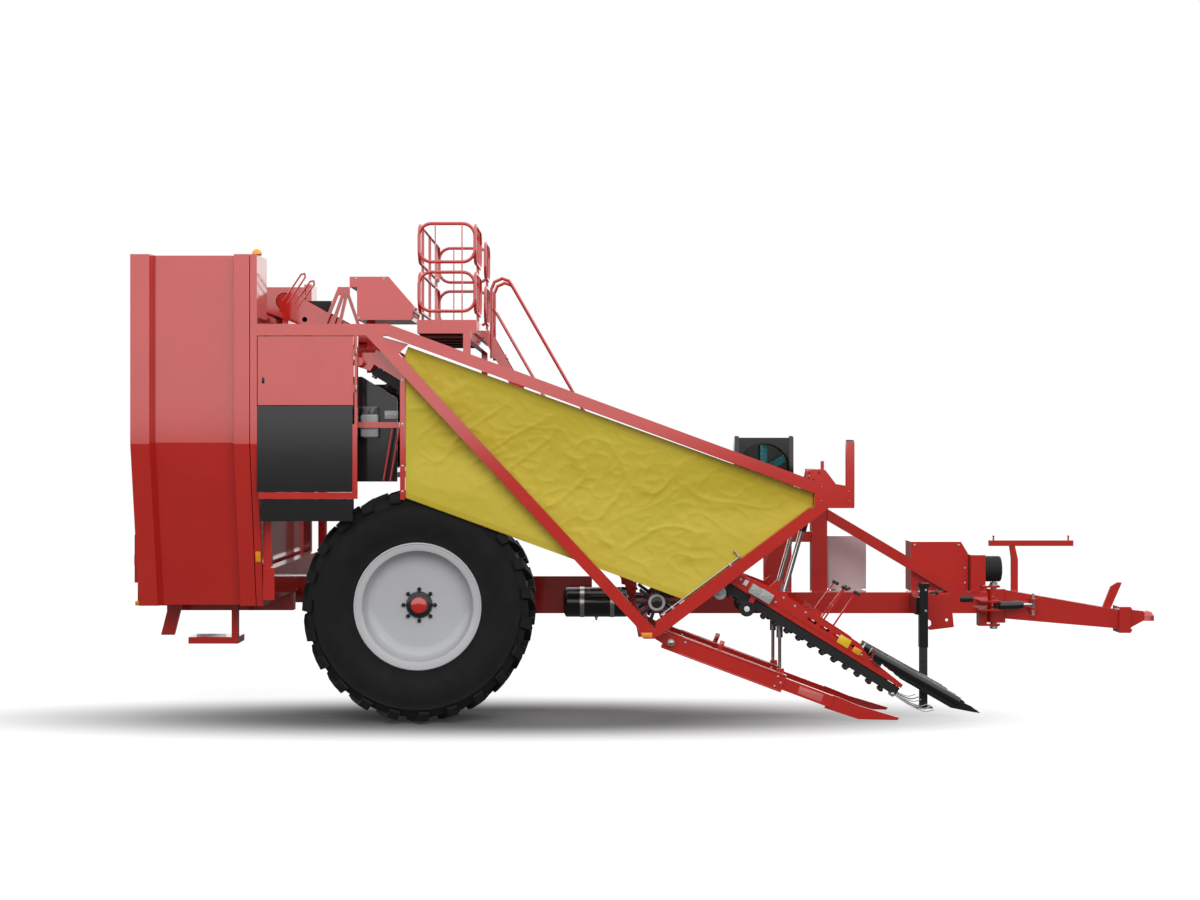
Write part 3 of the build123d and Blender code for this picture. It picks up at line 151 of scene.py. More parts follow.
def turned(name, start, way, profile, sides=32, ring=False):
    """A piece turned on a lathe: its profile's radii, drawn out along an axis from its start."""
    heading = Vector(way).normalized()
    origin = Vector(start)
    reach, radius = profile[0]
    bpy.ops.object.select_all(action="DESELECT")
    bpy.ops.mesh.primitive_circle_add(
        vertices=sides,
        radius=radius,
        fill_type="NOTHING" if ring else "NGON",
        location=origin + heading * reach,
        rotation=heading.to_track_quat("Z", "Y").to_euler(),
    )
    piece = settled(bpy.context.object, name)
    for next_reach, next_radius in profile[1:] + (profile[:1] if ring else []):
        step = heading * (next_reach - reach)
        bpy.ops.mesh.extrude_region_move(TRANSFORM_OT_translate={"value": step})
        grow = next_radius / radius
        centre = origin + heading * next_reach
        bpy.ops.transform.resize(value=(grow, grow, grow), center_override=centre)
        reach, radius = next_reach, next_radius
    bpy.ops.mesh.select_all(action="SELECT")
    bpy.ops.mesh.remove_doubles(threshold=0.00001)
    bpy.ops.mesh.normals_make_consistent(inside=False)
    bpy.ops.object.mode_set(mode="OBJECT")
    bpy.ops.object.shade_smooth_by_angle(angle=math.radians(35))
    return piece


def pick(pieces):
    """Selects these pieces alone, the first of them active."""
    bpy.ops.object.select_all(action="DESELECT")
    for piece in pieces:
        piece.select_set(True)
    bpy.context.view_layer.objects.active = pieces[0]


def joined(name, parts):
    """Several pieces welded into one."""
    pick(parts)
    bpy.ops.object.join()
    parts[0].name = name
    return parts[0]


def repeated(piece, moves):
    """The piece and a copy of it for each move, each with its own mesh, joined."""
    made = [piece]
    for move in moves:
        pick([piece])
        bpy.ops.object.duplicate()
        copy = bpy.context.object
        copy.matrix_world = move
        bpy.ops.object.transform_apply()
        made.append(copy)
    return joined(piece.name, made)


def shifts(start, places):
    """Moves that set copies of a piece at other places than its start."""
    return [Matrix.Translation(Vector(place) - Vector(start)) for place in places]


def spaced(pitch, count):
    """Moves that set copies of a piece in even steps, to a count in all."""
    return [Matrix.Translation([part * step for part in pitch]) for step in range(1, count)]


def spun(centre, axis, count):
    """Moves that set copies of a piece evenly round an axis, to a count in all."""
    middle = Matrix.Translation(centre)
    turns = [Matrix.Rotation(math.radians(360 / count * step), 4, axis) for step in range(1, count)]
    return [middle @ turn @ middle.inverted() for turn in turns]


def set_on(piece, finish, body="chassis"):
    """Gives a piece its finish and slot, and fixes it on a body."""
    piece.data.materials.clear()
    piece.data.materials.append(finish)
    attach(piece, body)


bolt_profile = [(0, 0.013), (0.002, 0.013), (0.002, 0.0095), (0.008, 0.0095), (0.0095, 0.007)]


def bolts(name, places, way, finish, scale=1.0, body="chassis"):
    """A row of like bolt heads on washers, set square to a face."""
    profile = [(reach * scale, radius * scale) for reach, radius in bolt_profile]
    head = turned(name, places[0], way, profile, sides=6)
    set_on(repeated(head, shifts(places[0], places[1:])), finish, body)


# Side frame: square tubes mitred and welded flat, in the same red coat. A blank amber
# reflector sits on the low corner, zinc bolts hold the canvas bar and the share shaft.
coat("side_rail side_diagonal side_strut side_node side_gusset", red_paint)


def bright_metal(name, tone, roughness, scale):
    """Bare metal, with the marks of its grinding or turning."""
    finish, tree, shader, place = new_material(name)
    marks = speckle(tree, place, scale, 4.0)
    dark = tuple(0.8 * part for part in tone)
    sockets = {
        "Base Color": two_tone(tree, marks, dark, tone),
        "Metallic": 1.0,
        "Roughness": roughness,
        "Normal": relief(tree, marks, 0.0001),
    }
    feed(tree, shader, sockets)
    return finish


zinc = bright_metal("zinc", (0.62, 0.62, 0.61), 0.3, 120.0)
amber = lacquer("amber_reflector", (0.72, 0.26, 0.012), (0.80, 0.32, 0.018), 1.5, 0.0006, 0.3)
side_face = -1.65
share_shaft = (0.062, 0.708)
reflector_low = (-0.199, side_face - 0.006, 0.771)
reflector = slab("side_reflector", reflector_low, (-0.106, side_face, 0.8125), 0.002)
set_on(reflector, amber)
to_right = (0, -1, 0)
bar_bolts = [(-2.2565, -1.5605, z) for z in (2.02, 2.24, 2.60, 2.98)]
bolts("canvas_bar_bolts", bar_bolts, to_right, zinc)
shaft_end = (share_shaft[0], -1.470, share_shaft[1])
bolts("share_shaft_nut", [shaft_end], to_right, zinc, 2.6)
corners = ((1.345, 1.94), (1.345, 2.06), (1.58, 1.94), (1.58, 2.02))
corner_bolts = [(x, side_face, z) for x, z in corners]
bolts("gusset_bolts", corner_bolts, to_right, red_paint, 0.9)

# Front columns, stay and drawbar: thick box sections, coated red after welding. The hinge and
# the steering cylinder turn on steel pins with a nut and washer at each end.
coat("front_columns front_stay drawbar hose_support coupling", red_paint)
worn_steel = bright_metal("worn_steel", (0.42, 0.41, 0.4), 0.38, 45.0)
black_tones = ((0.008, 0.008, 0.009), (0.011, 0.011, 0.012))
black_paint = lacquer("black_lacquer", *black_tones, 1.52, 0.00004)
nut_profile = [(0, 0.048), (0.006, 0.048), (0.006, 0.036), (0.026, 0.036), (0.030, 0.030)]
pin_profile = nut_profile + [(0.030, 0.019), (0.040, 0.019), (0.042, 0.016)]
hinge_x = 3.191
hinge_top = turned("hinge_pin_nut", (hinge_x, 0, 1.0865), (0, 0, 1), pin_profile, sides=24)
hinge_low = turned("hinge_pin_low", (hinge_x, 0, 0.7035), (0, 0, -1), nut_profile, sides=24)
set_on(joined("hinge_pin_ends", [hinge_top, hinge_low]), zinc)
steer_pin = [(0, 0.024), (0.005, 0.024), (0.005, 0.013), (0.050, 0.013), (0.052, 0.011)]
rod_eye = (3.534, -0.13)
rod_pin = turned("rod_pin_top", (*rod_eye, 0.9685), (0, 0, 1), steer_pin, sides=24)
rod_nut = turned("rod_pin_nut", (*rod_eye, 0.8615), (0, 0, -1), steer_pin[:4], sides=6)
set_on(joined("rod_pin", [rod_pin, rod_nut]), zinc, "drawbar")
bare_plate = slab("beam_plate", (2.852, -0.104, 0.935), (2.975, -0.0995, 0.992), 0.0015)
set_on(bare_plate, black_paint)
plug_profile = [(0, 0.036), (0.012, 0.034), (0.016, 0.028)]
post_plug = turned("post_plug", (1.602, -1.557, 2.4505), (0, 0, 1), plug_profile, 4)
set_on(post_plug, black_paint)
peg_tops = [(3.21, 0.09, 1.545), (3.925, 0.09, 1.545)]
bolts("peg_caps", peg_tops, (0, 0, 1), red_paint, 1.1, "drawbar")

# Gearbox hood: folded sheet with a bolt in each corner, coated red. The drive shaft's guard is
# a black moulded bell with ribs round it, and the stub inside it is splined steel.
coat("gearbox_hood", red_paint)
hood_corners = ((2.44, 1.47), (2.86, 1.47), (2.92, 1.25), (2.92, 1.11))
hood_bolts = [(x, -0.0005, z) for x, z in hood_corners]
bolts("gearbox_hood_bolts", hood_bolts, to_right, zinc, 0.85)


def rubber(name, tone, depth, scale, gloss=0.3):
    """Dull black rubber with a fine grain."""
    finish, tree, shader, place = new_material(name)
    dark, light = (tone * 0.75,) * 3, (tone, tone, tone * 1.03)
    sockets = {
        "Base Color": two_tone(tree, speckle(tree, place, scale, 6.0), dark, light),
        "Roughness": 0.62,
        "Specular IOR Level": gloss,
        "Normal": relief(tree, speckle(tree, place, scale * 20), depth),
    }
    feed(tree, shader, sockets)
    return finish


belt_rubber = rubber("belt_rubber", 0.016, 0.0004, 14.0)
coat("lift_belts rotor_front rotor_rear elevator_belt pto_guard", belt_rubber)
stub_height, bell_wall, bell_rib = 1.243, 0.1185, 0.1225
bell = [(0.0, 0.1175)]
for rib in range(6):
    foot = 0.012 + 0.024 * rib
    bell += [(foot, bell_wall), (foot + 0.002, bell_rib)]
    bell += [(foot + 0.010, bell_rib), (foot + 0.012, bell_wall)]
bell += [(0.156, bell_wall), (0.156, 0.1095), (0.0, 0.1095)]
guard_bell = turned("guard_bell", (3.0915, 0, stub_height), (1, 0, 0), bell, 48, ring=True)
set_on(guard_bell, belt_rubber)
spline = slab("shaft_spline", (3.13, -0.004, 1.2585), (3.209, 0.004, 1.2635), 0.001, segments=1)
set_on(repeated(spline, spun((0, 0, stub_height), "X", 6)), worn_steel)

# Parking jack: a square black tube on a bracket that two bolts hold to the beam. Its inner leg
# and welded foot are dark steel, and a coated crank at the top winds it down.
coat("jack_tube", black_paint)
dark_steel = bright_metal("dark_steel", (0.07, 0.07, 0.072), 0.42, 40.0)
coat("jack_leg", dark_steel)
jack_bolts = [(2.446, -0.5395, 1.0855), (2.446, -0.5395, 0.894)]
bolts("jack_bolts", jack_bolts, to_right, zinc, 0.9)
crank_profile = [(0, 0.02), (0.006, 0.02), (0.006, 0.011), (0.05, 0.011)]
crank_profile += [(0.052, 0.024), (0.072, 0.024), (0.076, 0.018)]
crank = turned("jack_crank", (2.49, -0.5, 1.06), (1, 0, 0), crank_profile, 20)
set_on(crank, black_paint)

# Tyres: black rubber, dull, cross ply with a smooth bulged wall and two moulded rings on it.
# The wall is one moulding from the bead to the shoulder, on each side of the wheel.
tyre_rubber = rubber("tyre_rubber", 0.0125, 0.0006, 9.0, 0.12)
coat("tyre_right tyre_left", tyre_rubber)
bead_share = 0.78


def wall_profile(half, rim, tread):
    """A tyre wall's section, from the bead out to the shoulder and back behind its face."""
    bead = half * bead_share
    flank = (rim + tread + 0.052) / 2
    outer = [
        (bead + 0.006, rim + 0.006),
        (bead + 0.020, rim + 0.022),
        (bead + 0.030, rim + 0.030),
        (bead + 0.028, rim + 0.040),
        (half - 0.030, rim + (flank - rim) * 0.45),
        (half - 0.014, rim + (flank - rim) * 0.72),
        (half - 0.009, flank),
        (half - 0.012, flank + (tread - flank) * 0.3),
        (half - 0.021, flank + (tread - flank) * 0.55),
        (half - 0.017, flank + (tread - flank) * 0.60),
        (half - 0.026, flank + (tread - flank) * 0.65),
        (half * 0.86, tread - 0.012),
    ]
    return outer + [(half * 0.80, tread - 0.02), (half - 0.05, flank), (bead - 0.01, rim + 0.03)]


# Each wheel: its side, the way it faces, its centre, half its width, and the radii of its rim
# and of the foot of its lugs.
wheels = (
    ("right", -1, (-2.137, -1.175, 1.02), 0.355, 0.535, 0.968),
    ("left", 1, (-2.137, 1.350, 0.80), 0.300, 0.330, 0.748),
)
for side, out, centre, half, rim, tread in wheels:
    name, section = f"tyre_wall_{side}", wall_profile(half, rim, tread)
    walls = [turned(name, centre, (0, face, 0), section, 96, ring=True) for face in (out, -out)]
    set_on(joined(name, walls), tyre_rubber, f"wheel_{side}")

# Wheels: a dished steel disc in a silver coat, held by eight black nuts on their studs round
# a black hub with a red domed cap.
silver_tones = ((0.43, 0.435, 0.45), (0.47, 0.475, 0.49))
silver_paint = lacquer("silver_coat", *silver_tones, 1.45, roughness=0.4)
coat("rim_right rim_left", silver_paint)
disc_share = 0.35
dish_steps = ((0.72, 0.057), (0.42, 0.064), (0.22, 0.078))
dish_steps += ((0.10, 0.097), (0.03, 0.125), (0.0, 0.165))
for side, out, centre, half, rim, tread in wheels:
    bead = half * bead_share
    disc = bead * disc_share + 0.036
    face = [(bead + 0.018, rim + 0.021), (bead + 0.023, rim + 0.018)]
    face += [(bead + 0.0245, rim + 0.012), (bead + 0.0235, rim + 0.006)]
    face += [(bead + 0.018, rim + 0.002), (bead + 0.016, rim - 0.044)]
    face += [(bead + 0.012, rim - 0.051), (bead + 0.002, rim - 0.055)]
    face += [(disc + (bead - disc) * share, rim - inward) for share, inward in dish_steps]
    face += [(disc, 0.119), (disc - 0.02, 0.119), (disc - 0.02, rim - 0.10)]
    face += [(bead - 0.02, rim - 0.03), (bead + 0.002, rim + 0.016)]
    dish = turned(f"rim_face_{side}", centre, (0, out, 0), face, 96, ring=True)
    set_on(dish, silver_paint, f"wheel_{side}")
hub_black = lacquer("hub_black", (0.012, 0.012, 0.012), (0.017, 0.017, 0.017), 1.4)
hub_ring = [(0.022, 0.116), (0.052, 0.114), (0.063, 0.110), (0.067, 0.102)]
hub_ring += [(0.070, 0.076), (0.030, 0.070)]
hub_cap = [(0.060, 0.073), (0.082, 0.073), (0.094, 0.068), (0.101, 0.052)]
hub_cap += [(0.104, 0.022), (0.104, 0.006)]
wheel_nut = [(0.010, 0.024), (0.014, 0.024), (0.014, 0.0195), (0.040, 0.0195)]
wheel_nut += [(0.044, 0.016), (0.044, 0.009), (0.058, 0.009), (0.060, 0.007)]
for side, out, centre, half, rim, tread in wheels:
    way, body, slot = (0, out, 0), f"wheel_{side}", f"rim_{side}"
    base = (centre[0], centre[1] + out * half * bead_share * disc_share, centre[2])
    ring = turned(f"hub_ring_{side}", base, way, hub_ring, 48, ring=True)
    set_on(ring, hub_black, body)
    set_on(turned(f"hub_cap_{side}", base, way, hub_cap, 48), red_paint, body)
    nut_at = (base[0], base[1] + out * 0.012, base[2] + 0.138)
    nut = turned(f"wheel_nuts_{side}", nut_at, way, wheel_nut, 6)
    set_on(repeated(nut, spun(base, "Y", 8)), hub_black, body)

# Cylinders: drawn tube barrels in black, those of the shares in bare steel, with rods in hard
# chrome. The steering barrel has a thicker sleeve and a screwed gland that its rod leaves by.
coat("steer_barrel tip_barrels lift_barrels", black_paint)
chrome = bright_metal("hard_chrome", (0.78, 0.79, 0.8), 0.14, 60.0)
coat("steer_rod lift_rods share_rods tip_rods", chrome)
bare_steel = bright_metal("bare_steel", (0.36, 0.33, 0.36), 0.34, 30.0)
coat("share_barrels", bare_steel)
steer_height = 0.916
steer_start, steer_end = Vector((3.162, -0.25, steer_height)), Vector((*rod_eye, steer_height))
steer_way = (steer_end - steer_start).normalized()
sleeve = [(0.026, 0.0325), (0.034, 0.040), (0.240, 0.040), (0.248, 0.0325)]
steer_sleeve = turned("steer_sleeve", steer_start, steer_way, sleeve, 32, ring=True)
set_on(steer_sleeve, black_paint, "steer_barrel")
gland = [(0.246, 0.0325), (0.248, 0.0345), (0.272, 0.0345), (0.276, 0.030)]
gland += [(0.276, 0.0165), (0.262, 0.0165)]
steer_gland = turned("steer_gland", steer_start, steer_way, gland, 32, ring=True)
set_on(steer_gland, black_paint, "steer_barrel")

# Air tank: a black steel cylinder with pressed domes welded in its ends, two zinc straps and a
# drain under its middle.
coat("air_tank", black_paint)
tank_axis = (-0.258, 0.952)
dome = [(-0.004, 0.1385), (0.004, 0.1408), (0.014, 0.137), (0.024, 0.122)]
dome += [(0.034, 0.092), (0.041, 0.05), (0.043, 0.012)]
front_dome = turned("tank_dome", (-0.318, *tank_axis), (1, 0, 0), dome, 48)
rear_dome = turned("tank_dome_rear", (-0.858, *tank_axis), (-1, 0, 0), dome, 48)
set_on(joined("tank_domes", [front_dome, rear_dome]), black_paint)
strap = [(0, 0.1405), (0, 0.1435), (0.04, 0.1435), (0.04, 0.1405)]
straps = turned("tank_straps", (-0.74, *tank_axis), (1, 0, 0), strap, 48, ring=True)
set_on(repeated(straps, spaced((0.28, 0, 0), 2)), zinc)
drain = [(0, 0.016), (0.010, 0.016), (0.010, 0.010), (0.030, 0.010), (0.032, 0.007)]
tap = turned("tank_drain", (-0.588, tank_axis[0], 0.813), (0, 0, -1), drain, 16)
set_on(tap, zinc)

# Side panels: a pressed red door on two zinc hinges, over black pressed panels. It shuts with a
# small black lever on a plate.
coat("side_door door_post", red_paint)
coat("side_panel", black_paint)
plate_low, lever_low = (-3.4515, side_face - 0.004, 2.950), (-3.447, side_face - 0.016, 2.956)
lever_plate = slab("lever_plate", plate_low, (-3.4305, side_face, 3.001), 0.003)
lever = slab("lever", lever_low, (-3.435, side_face - 0.003, 2.994), 0.005)
set_on(joined("door_lever", [lever_plate, lever]), hub_black, "side_door")
leaf_low = (-2.6495, side_face - 0.0035, 2.874)
leaves = slab("hinge_leaves", leaf_low, (-2.6375, side_face, 2.936), 0.0015)
set_on(repeated(leaves, spaced((0, 0, 0.310), 2)), zinc)

# Bunker: smooth folded sheet, coated red, with pressed ribs on its rear wall. The headboard
# ahead of it is fixed, and carries a blank amber reflector low down.
coat("bunker headboard", red_paint)
ribs = slab("bunker_ribs", (-4.600, -1.075, 1.15), (-4.5805, -0.985, 3.92), 0.009, segments=1)
set_on(repeated(ribs, spaced((0, 0.62, 0), 4)), red_paint, "bunker")
wall_lean = math.atan2(0.29, 1.414)
reflector_at = Matrix.Translation((-3.5235, -1.4495, 1.4505))
reflector = slab("head_reflector", (-0.022, -0.004, -0.046), (0.022, 0.004, 0.046), 0.002)
reflector.matrix_world = reflector_at @ Matrix.Rotation(wall_lean, 4, "X")
bpy.ops.object.transform_apply()
set_on(reflector, amber)

# Beacon: a domed lens moulded in amber plastic, which screws on a low black base. The base is
# bolted to the top of the headboard at its right front corner.
amber_lens = lacquer("amber_lens", (0.78, 0.30, 0.008), (0.86, 0.38, 0.012), 1.5, 0.0002, 0.25)
beacon_at = (-3.512, -1.560, 4.058)
base_profile = [(0, 0.042), (0.006, 0.042), (0.008, 0.040)]
base = turned("beacon_base", beacon_at, (0, 0, 1), base_profile, 40)
set_on(base, hub_black)
lens = [(0.005, 0.0425), (0.012, 0.0435), (0.024, 0.0415), (0.036, 0.0360), (0.046, 0.0270)]
lens += [(0.053, 0.0160), (0.056, 0.0040)]
lens_piece = turned("beacon_lens", beacon_at, (0, 0, 1), lens, 40)
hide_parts("beacon")
set_on(lens_piece, amber_lens)

# Lamp board: a folded red pan across the rear, with two lamps on its face, a number plate's
# bare place between them, and an amber side lamp on a black holder under its right end.
coat("lamp_board", red_paint)
red_lens = lacquer("red_lens", (0.42, 0.006, 0.006), (0.50, 0.010, 0.008), 1.5, 0.0006, 0.25)
board_face = -4.716
for number, low_y in enumerate((-0.96, 0.72)):
    outer, inner = (low_y + 0.008, low_y + 0.096) if low_y < 0 else (low_y + 0.150, low_y + 0.008)
    lamp_pieces = (
        (f"lamp_holder_{number}", hub_black, low_y, 0.24, (1.33, 1.45), (0.006, 0), 0.003),
        (f"turn_lens_{number}", amber, outer, 0.082, (1.338, 1.442), (0.018, 0.005), 0.006),
        (f"tail_lens_{number}", red_lens, inner, 0.136, (1.338, 1.442), (0.018, 0.005), 0.006),
    )
    for name, finish, y, width, (low_z, high_z), (proud, back), edge in lamp_pieces:
        low = (board_face - proud, y, low_z)
        piece = slab(name, low, (board_face - back, y + width, high_z), edge)
        set_on(piece, finish)
holder = slab("side_lamp_holder", (-4.690, -0.995, 1.02), (-4.650, -0.955, 1.1905), 0.003)
set_on(holder, hub_black)
side_lamp = slab("side_lamp", (-4.712, -1.0, 0.985), (-4.612, -0.950, 1.027), 0.006)
set_on(side_lamp, amber)
white_plate = lacquer("white_plate", (0.62, 0.61, 0.60), (0.68, 0.67, 0.66), 1.45)
number_low = (board_face - 0.004, -0.26, 1.35)
number_plate = slab("rear_plate", number_low, (board_face, 0.26, 1.46), 0.0015)
set_on(number_plate, white_plate)

# Platform, ladder, elevator and topper: tube, tread and plate, coated red. The deck has an
# open grating of pressed slats, and the elevator a black rubber skirt at its side.
coat("platform_frame platform platform_rails ladder elevator_frame topper_hood", red_paint)
slat_low, slat_pitch, slat_count = (-2.163, -1.138, 3.4585), 0.0415, 48
slat = slab("deck_grating", slat_low, (-1.658, slat_low[1] + 0.006, 3.4845), 0.001, segments=1)
slat = repeated(slat, spaced((0, slat_pitch, 0), slat_count))
tie_low = (-2.155, slat_low[1], 3.4605)
tie = slab("grating_ties", tie_low, (-2.150, 0.838, 3.4800), 0.001, segments=1)
tie = repeated(tie, shifts((0, 0, 0), [(step, 0, 0) for step in (0.122, 0.244, 0.366, 0.484)]))
set_on(joined("deck_grating", [slat, tie]), zinc)
# Under the deck, a thin sheet and bearers take a much darker copy of the red coat, as painted
# shade.
painted_shade_red = lacquer("painted_shade_red", (0.11, 0.007, 0.005), (0.15, 0.009, 0.007), 1.2, 0.0003, 0.7)
sheet_low, sheet_high = (-2.168, -1.145, 3.4065), (-1.653, 0.845, 3.4098)
under_sheet = slab("deck_under", sheet_low, sheet_high, 0.0008, segments=1)
bearer = slab("deck_bearer", (-2.165, -1.02, 3.378), (-1.740, -0.98, 3.4075), 0.003, segments=1)
bearer = repeated(bearer, spaced((0, 0.42, 0), 5))
set_on(joined("deck_under", [under_sheet, bearer]), painted_shade_red)


def bent_tube(name, points, radius, closed=False):
    """A round tube bent along a run of points."""
    run = bpy.data.curves.new(name, "CURVE")
    run.dimensions = "3D"
    run.bevel_depth = radius
    run.bevel_resolution = 3
    run.use_fill_caps = not closed
    line = run.splines.new("POLY")
    line.points.add(len(points) - 1)
    for knot, point in zip(line.points, points):
        knot.co = (*point, 1)
    line.use_cyclic_u = closed
    piece = bpy.data.objects.new(name, run)
    bpy.context.scene.collection.objects.link(piece)
    pick([piece])
    bpy.ops.object.convert(target="MESH")
    bpy.ops.object.shade_smooth_by_angle(angle=math.radians(50))
    return piece


def loop_corners(low, high, low_z, high_z, bend=0.11):
    """A closed loop with round corners, as (place along, height) pairs."""
    corners = ((high - bend, low_z + bend, -90), (high - bend, high_z - bend, 0))
    corners += ((low + bend, high_z - bend, 90), (low + bend, low_z + bend, 180))
    run = []
    for along, height, first in corners:
        for step in range(9):
            turn = math.radians(first + 11.25 * step)
            run.append((along + bend * math.cos(turn), height + bend * math.sin(turn)))
    return run


deck_top, rail_top = 3.530, 4.385
rail_x, rail_y, gate_y = (-2.158, -1.663), (-1.135, 0.835), (-0.375, 0.245)
sides = (
    (rail_x[0], *rail_y),
    (rail_x[1], rail_y[0], gate_y[0]),
    (rail_x[1], gate_y[1], rail_y[1]),
)
rail_parts = []
for low_z, high_z in ((deck_top + 0.515, rail_top), (deck_top + 0.078, deck_top + 0.424)):
    for y in rail_y:
        run = [(x, y, z) for x, z in loop_corners(*rail_x, low_z, high_z)]
        rail_parts.append(bent_tube("rail_loop", run, 0.015, True))
    for x, start_y, end_y in sides:
        run = [(x, y, z) for y, z in loop_corners(start_y + 0.02, end_y - 0.02, low_z, high_z)]
        rail_parts.append(bent_tube("rail_loop", run, 0.015, True))
uprights = [(x, y, 0.005, 0.013) for x in (-2.013, -1.776) for y in rail_y]
uprights += [(rail_x[0], y, 0.013, 0.005) for y in (-0.800, -0.150, 0.500)]
uprights += [(rail_x[1], y, 0.013, 0.005) for y in (-0.750, 0.530)]
for x, y, half_x, half_y in uprights:
    low = (x - half_x, y - half_y, deck_top - 0.002)
    high = (x + half_x, y + half_y, rail_top)
    rail_parts.append(slab("rail_upright", low, high, 0.002, segments=1))
rails = joined("platform_loops", rail_parts)
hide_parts("platform_rails")
set_on(rails, red_paint)
topper_bolts = [(-2.7016, -1.2505, 3.885), (-2.455, -1.2505, 3.885), (-2.675, -1.2505, 3.54)]
bolts("topper_bolts", topper_bolts, to_right, zinc, 0.8)
skirt = slab("elevator_skirt", (-3.287, -0.585, 3.60), (-3.02, -0.578, 3.742), 0.002)
skirt_lip = slab("elevator_skirt_lip", (-3.287, -0.585, 3.738), (-3.02, -0.540, 3.744), 0.002)
set_on(joined("elevator_skirt", [skirt, skirt_lip]), belt_rubber)

# Cleaner: black rollers and baffles. Its drive motor stands behind the side door, a ribbed case
# in grey cast iron, with a cross strap bolted ahead of it.
coat("cleaner", black_paint)
grey_iron = lacquer("grey_iron", (0.30, 0.30, 0.30), (0.36, 0.36, 0.36), 1.45)
motor_case = slab("cleaner_motor", (-2.636, -1.404, 2.490), (-2.489, -1.300, 2.690), 0.012)
motor_rib = slab("motor_rib", (-2.641, -1.409, 2.500), (-2.484, -1.300, 2.504), 0.001, segments=1)
motor_rib = repeated(motor_rib, spaced((0, 0, 0.014), 13))
motor_head = slab("motor_head", (-2.630, -1.400, 2.685), (-2.495, -1.302, 2.755), 0.01)
set_on(joined("cleaner_motor", [motor_case, motor_rib, motor_head]), grey_iron)
cross_strap = slab("cleaner_strap", (-2.440, -1.330, 2.650), (-2.325, -1.308, 2.722), 0.003)
set_on(cross_strap, grey_iron)
strap_bolts = [(-2.42, -1.330, 2.686), (-2.345, -1.330, 2.686)]
bolts("strap_bolts", strap_bolts, to_right, zinc, 0.8)

# Cabinet: a folded steel case in a mauve grey coat, on the left of the beam. Its door is a flat
# sheet that shuts with two black turn locks.
cabinet_grey = lacquer("cabinet_grey", (0.50, 0.405, 0.415), (0.55, 0.45, 0.46), 1.45)
coat("cabinet", cabinet_grey)
door = slab("cabinet_door", (1.687, 0.6395, 1.043), (2.011, 0.648, 1.516), 0.004)
set_on(door, cabinet_grey)
lock = [(0, 0.016), (0.004, 0.016), (0.004, 0.012), (0.014, 0.012), (0.016, 0.009)]
locks = turned("cabinet_locks", (1.984, 0.648, 1.17), (0, 1, 0), lock, 24)
set_on(repeated(locks, spaced((0, 0, 0.22), 2)), hub_black)

# Oil cooler: a black plastic cowl between two uprights, a fan of teal blades behind a guard of
# black wire rings on four spokes.
coat("cooler", black_paint)
teal_plastic = lacquer("teal_blades", (0.025, 0.15, 0.165), (0.035, 0.19, 0.205), 1.45)
coat("cooler_fan", teal_plastic)
fan_at = (1.002, -0.0505, 2.181)
lip = [(0, 0.2495), (0.006, 0.2495), (0.010, 0.2530)]
lip += [(0.010, 0.2580), (0.004, 0.2620), (0, 0.2620)]
rings = [turned("cowl_lip", fan_at, to_right, lip, 64, ring=True)]
for radius in (0.075, 0.11, 0.145, 0.18, 0.215):
    bpy.ops.object.select_all(action="DESELECT")
    bpy.ops.mesh.primitive_torus_add(
        major_radius=radius,
        minor_radius=0.0016,
        major_segments=48,
        minor_segments=6,
        location=(fan_at[0], fan_at[1] - 0.006, fan_at[2]),
        rotation=(math.radians(90), 0, 0),
    )
    bpy.ops.object.transform_apply()
    bpy.ops.object.shade_smooth()
    rings.append(bpy.context.object)
spoke_reach, spoke_half = 0.252, 0.0022
for turn in (45, 135):
    low = (fan_at[0] - spoke_reach, fan_at[1] - 0.0042, fan_at[2] - spoke_half)
    high = (fan_at[0] + spoke_reach, fan_at[1] - 0.0004, fan_at[2] + spoke_half)
    rings.append(slab(f"guard_spoke_{turn}", low, high, 0.001, math.radians(turn), 1))
guard_boss = [(0, 0.058), (0.006, 0.058), (0.009, 0.054), (0.010, 0.030)]
rings.append(turned("guard_boss", fan_at, to_right, guard_boss, 40))
set_on(joined("fan_guard", rings), hub_black)
peg = [(0, 0.022), (0.012, 0.022), (0.016, 0.017), (0.018, 0.010)]
for number, (low_x, high_x) in enumerate(((0.722, 0.766), (1.238, 1.282))):
    name, cap_at = f"cooler_upright_{number}", ((low_x + high_x) / 2, -0.02, 2.490)
    upright = slab(name, (low_x, -0.060, 1.90), (high_x, -0.045, 2.497), 0.004)
    cap = turned(f"upright_cap_{number}", cap_at, (0, 0, 1), peg, 20)
    set_on(joined(name, [upright, cap]), black_paint)
fin = slab("cooler_fins", (0.745, 0.1395, 1.895), (1.259, 0.1440, 1.898), 0.0008, segments=1)
set_on(repeated(fin, spaced((0, 0, 0.0135), 44)), bare_steel)

# Lifting unit: red channels, cheeks and hangers. Black rollers stand under the belts all the
# way down, two guide wheels hang on arms, and blank plates are riveted on the cheeks.
coat("lift_frame rotor_hangers share_arms", red_paint)
coat("lift_pulleys", worn_steel)
coat("dividers", black_paint)
row_middles, cheek_side = (-1.380, -0.780), 0.083
# A line is the pivot and the slope that a part's side view is measured from.
unit_line = ((-2.633, 3.140), math.radians(31.57))


def line_point(line, along, up):
    """A point of a sloped part's side view: along it from its pivot, and square to it."""
    (pivot_x, pivot_z), slope = line
    x = pivot_x + along * math.cos(slope) + up * math.sin(slope)
    return x, pivot_z - along * math.sin(slope) + up * math.cos(slope)


def line_points(line, side, places):
    """The points at one side of a sloped part, for places along it and square to it."""
    flat_points = [line_point(line, *place) for place in places]
    return [(x, side, z) for x, z in flat_points]


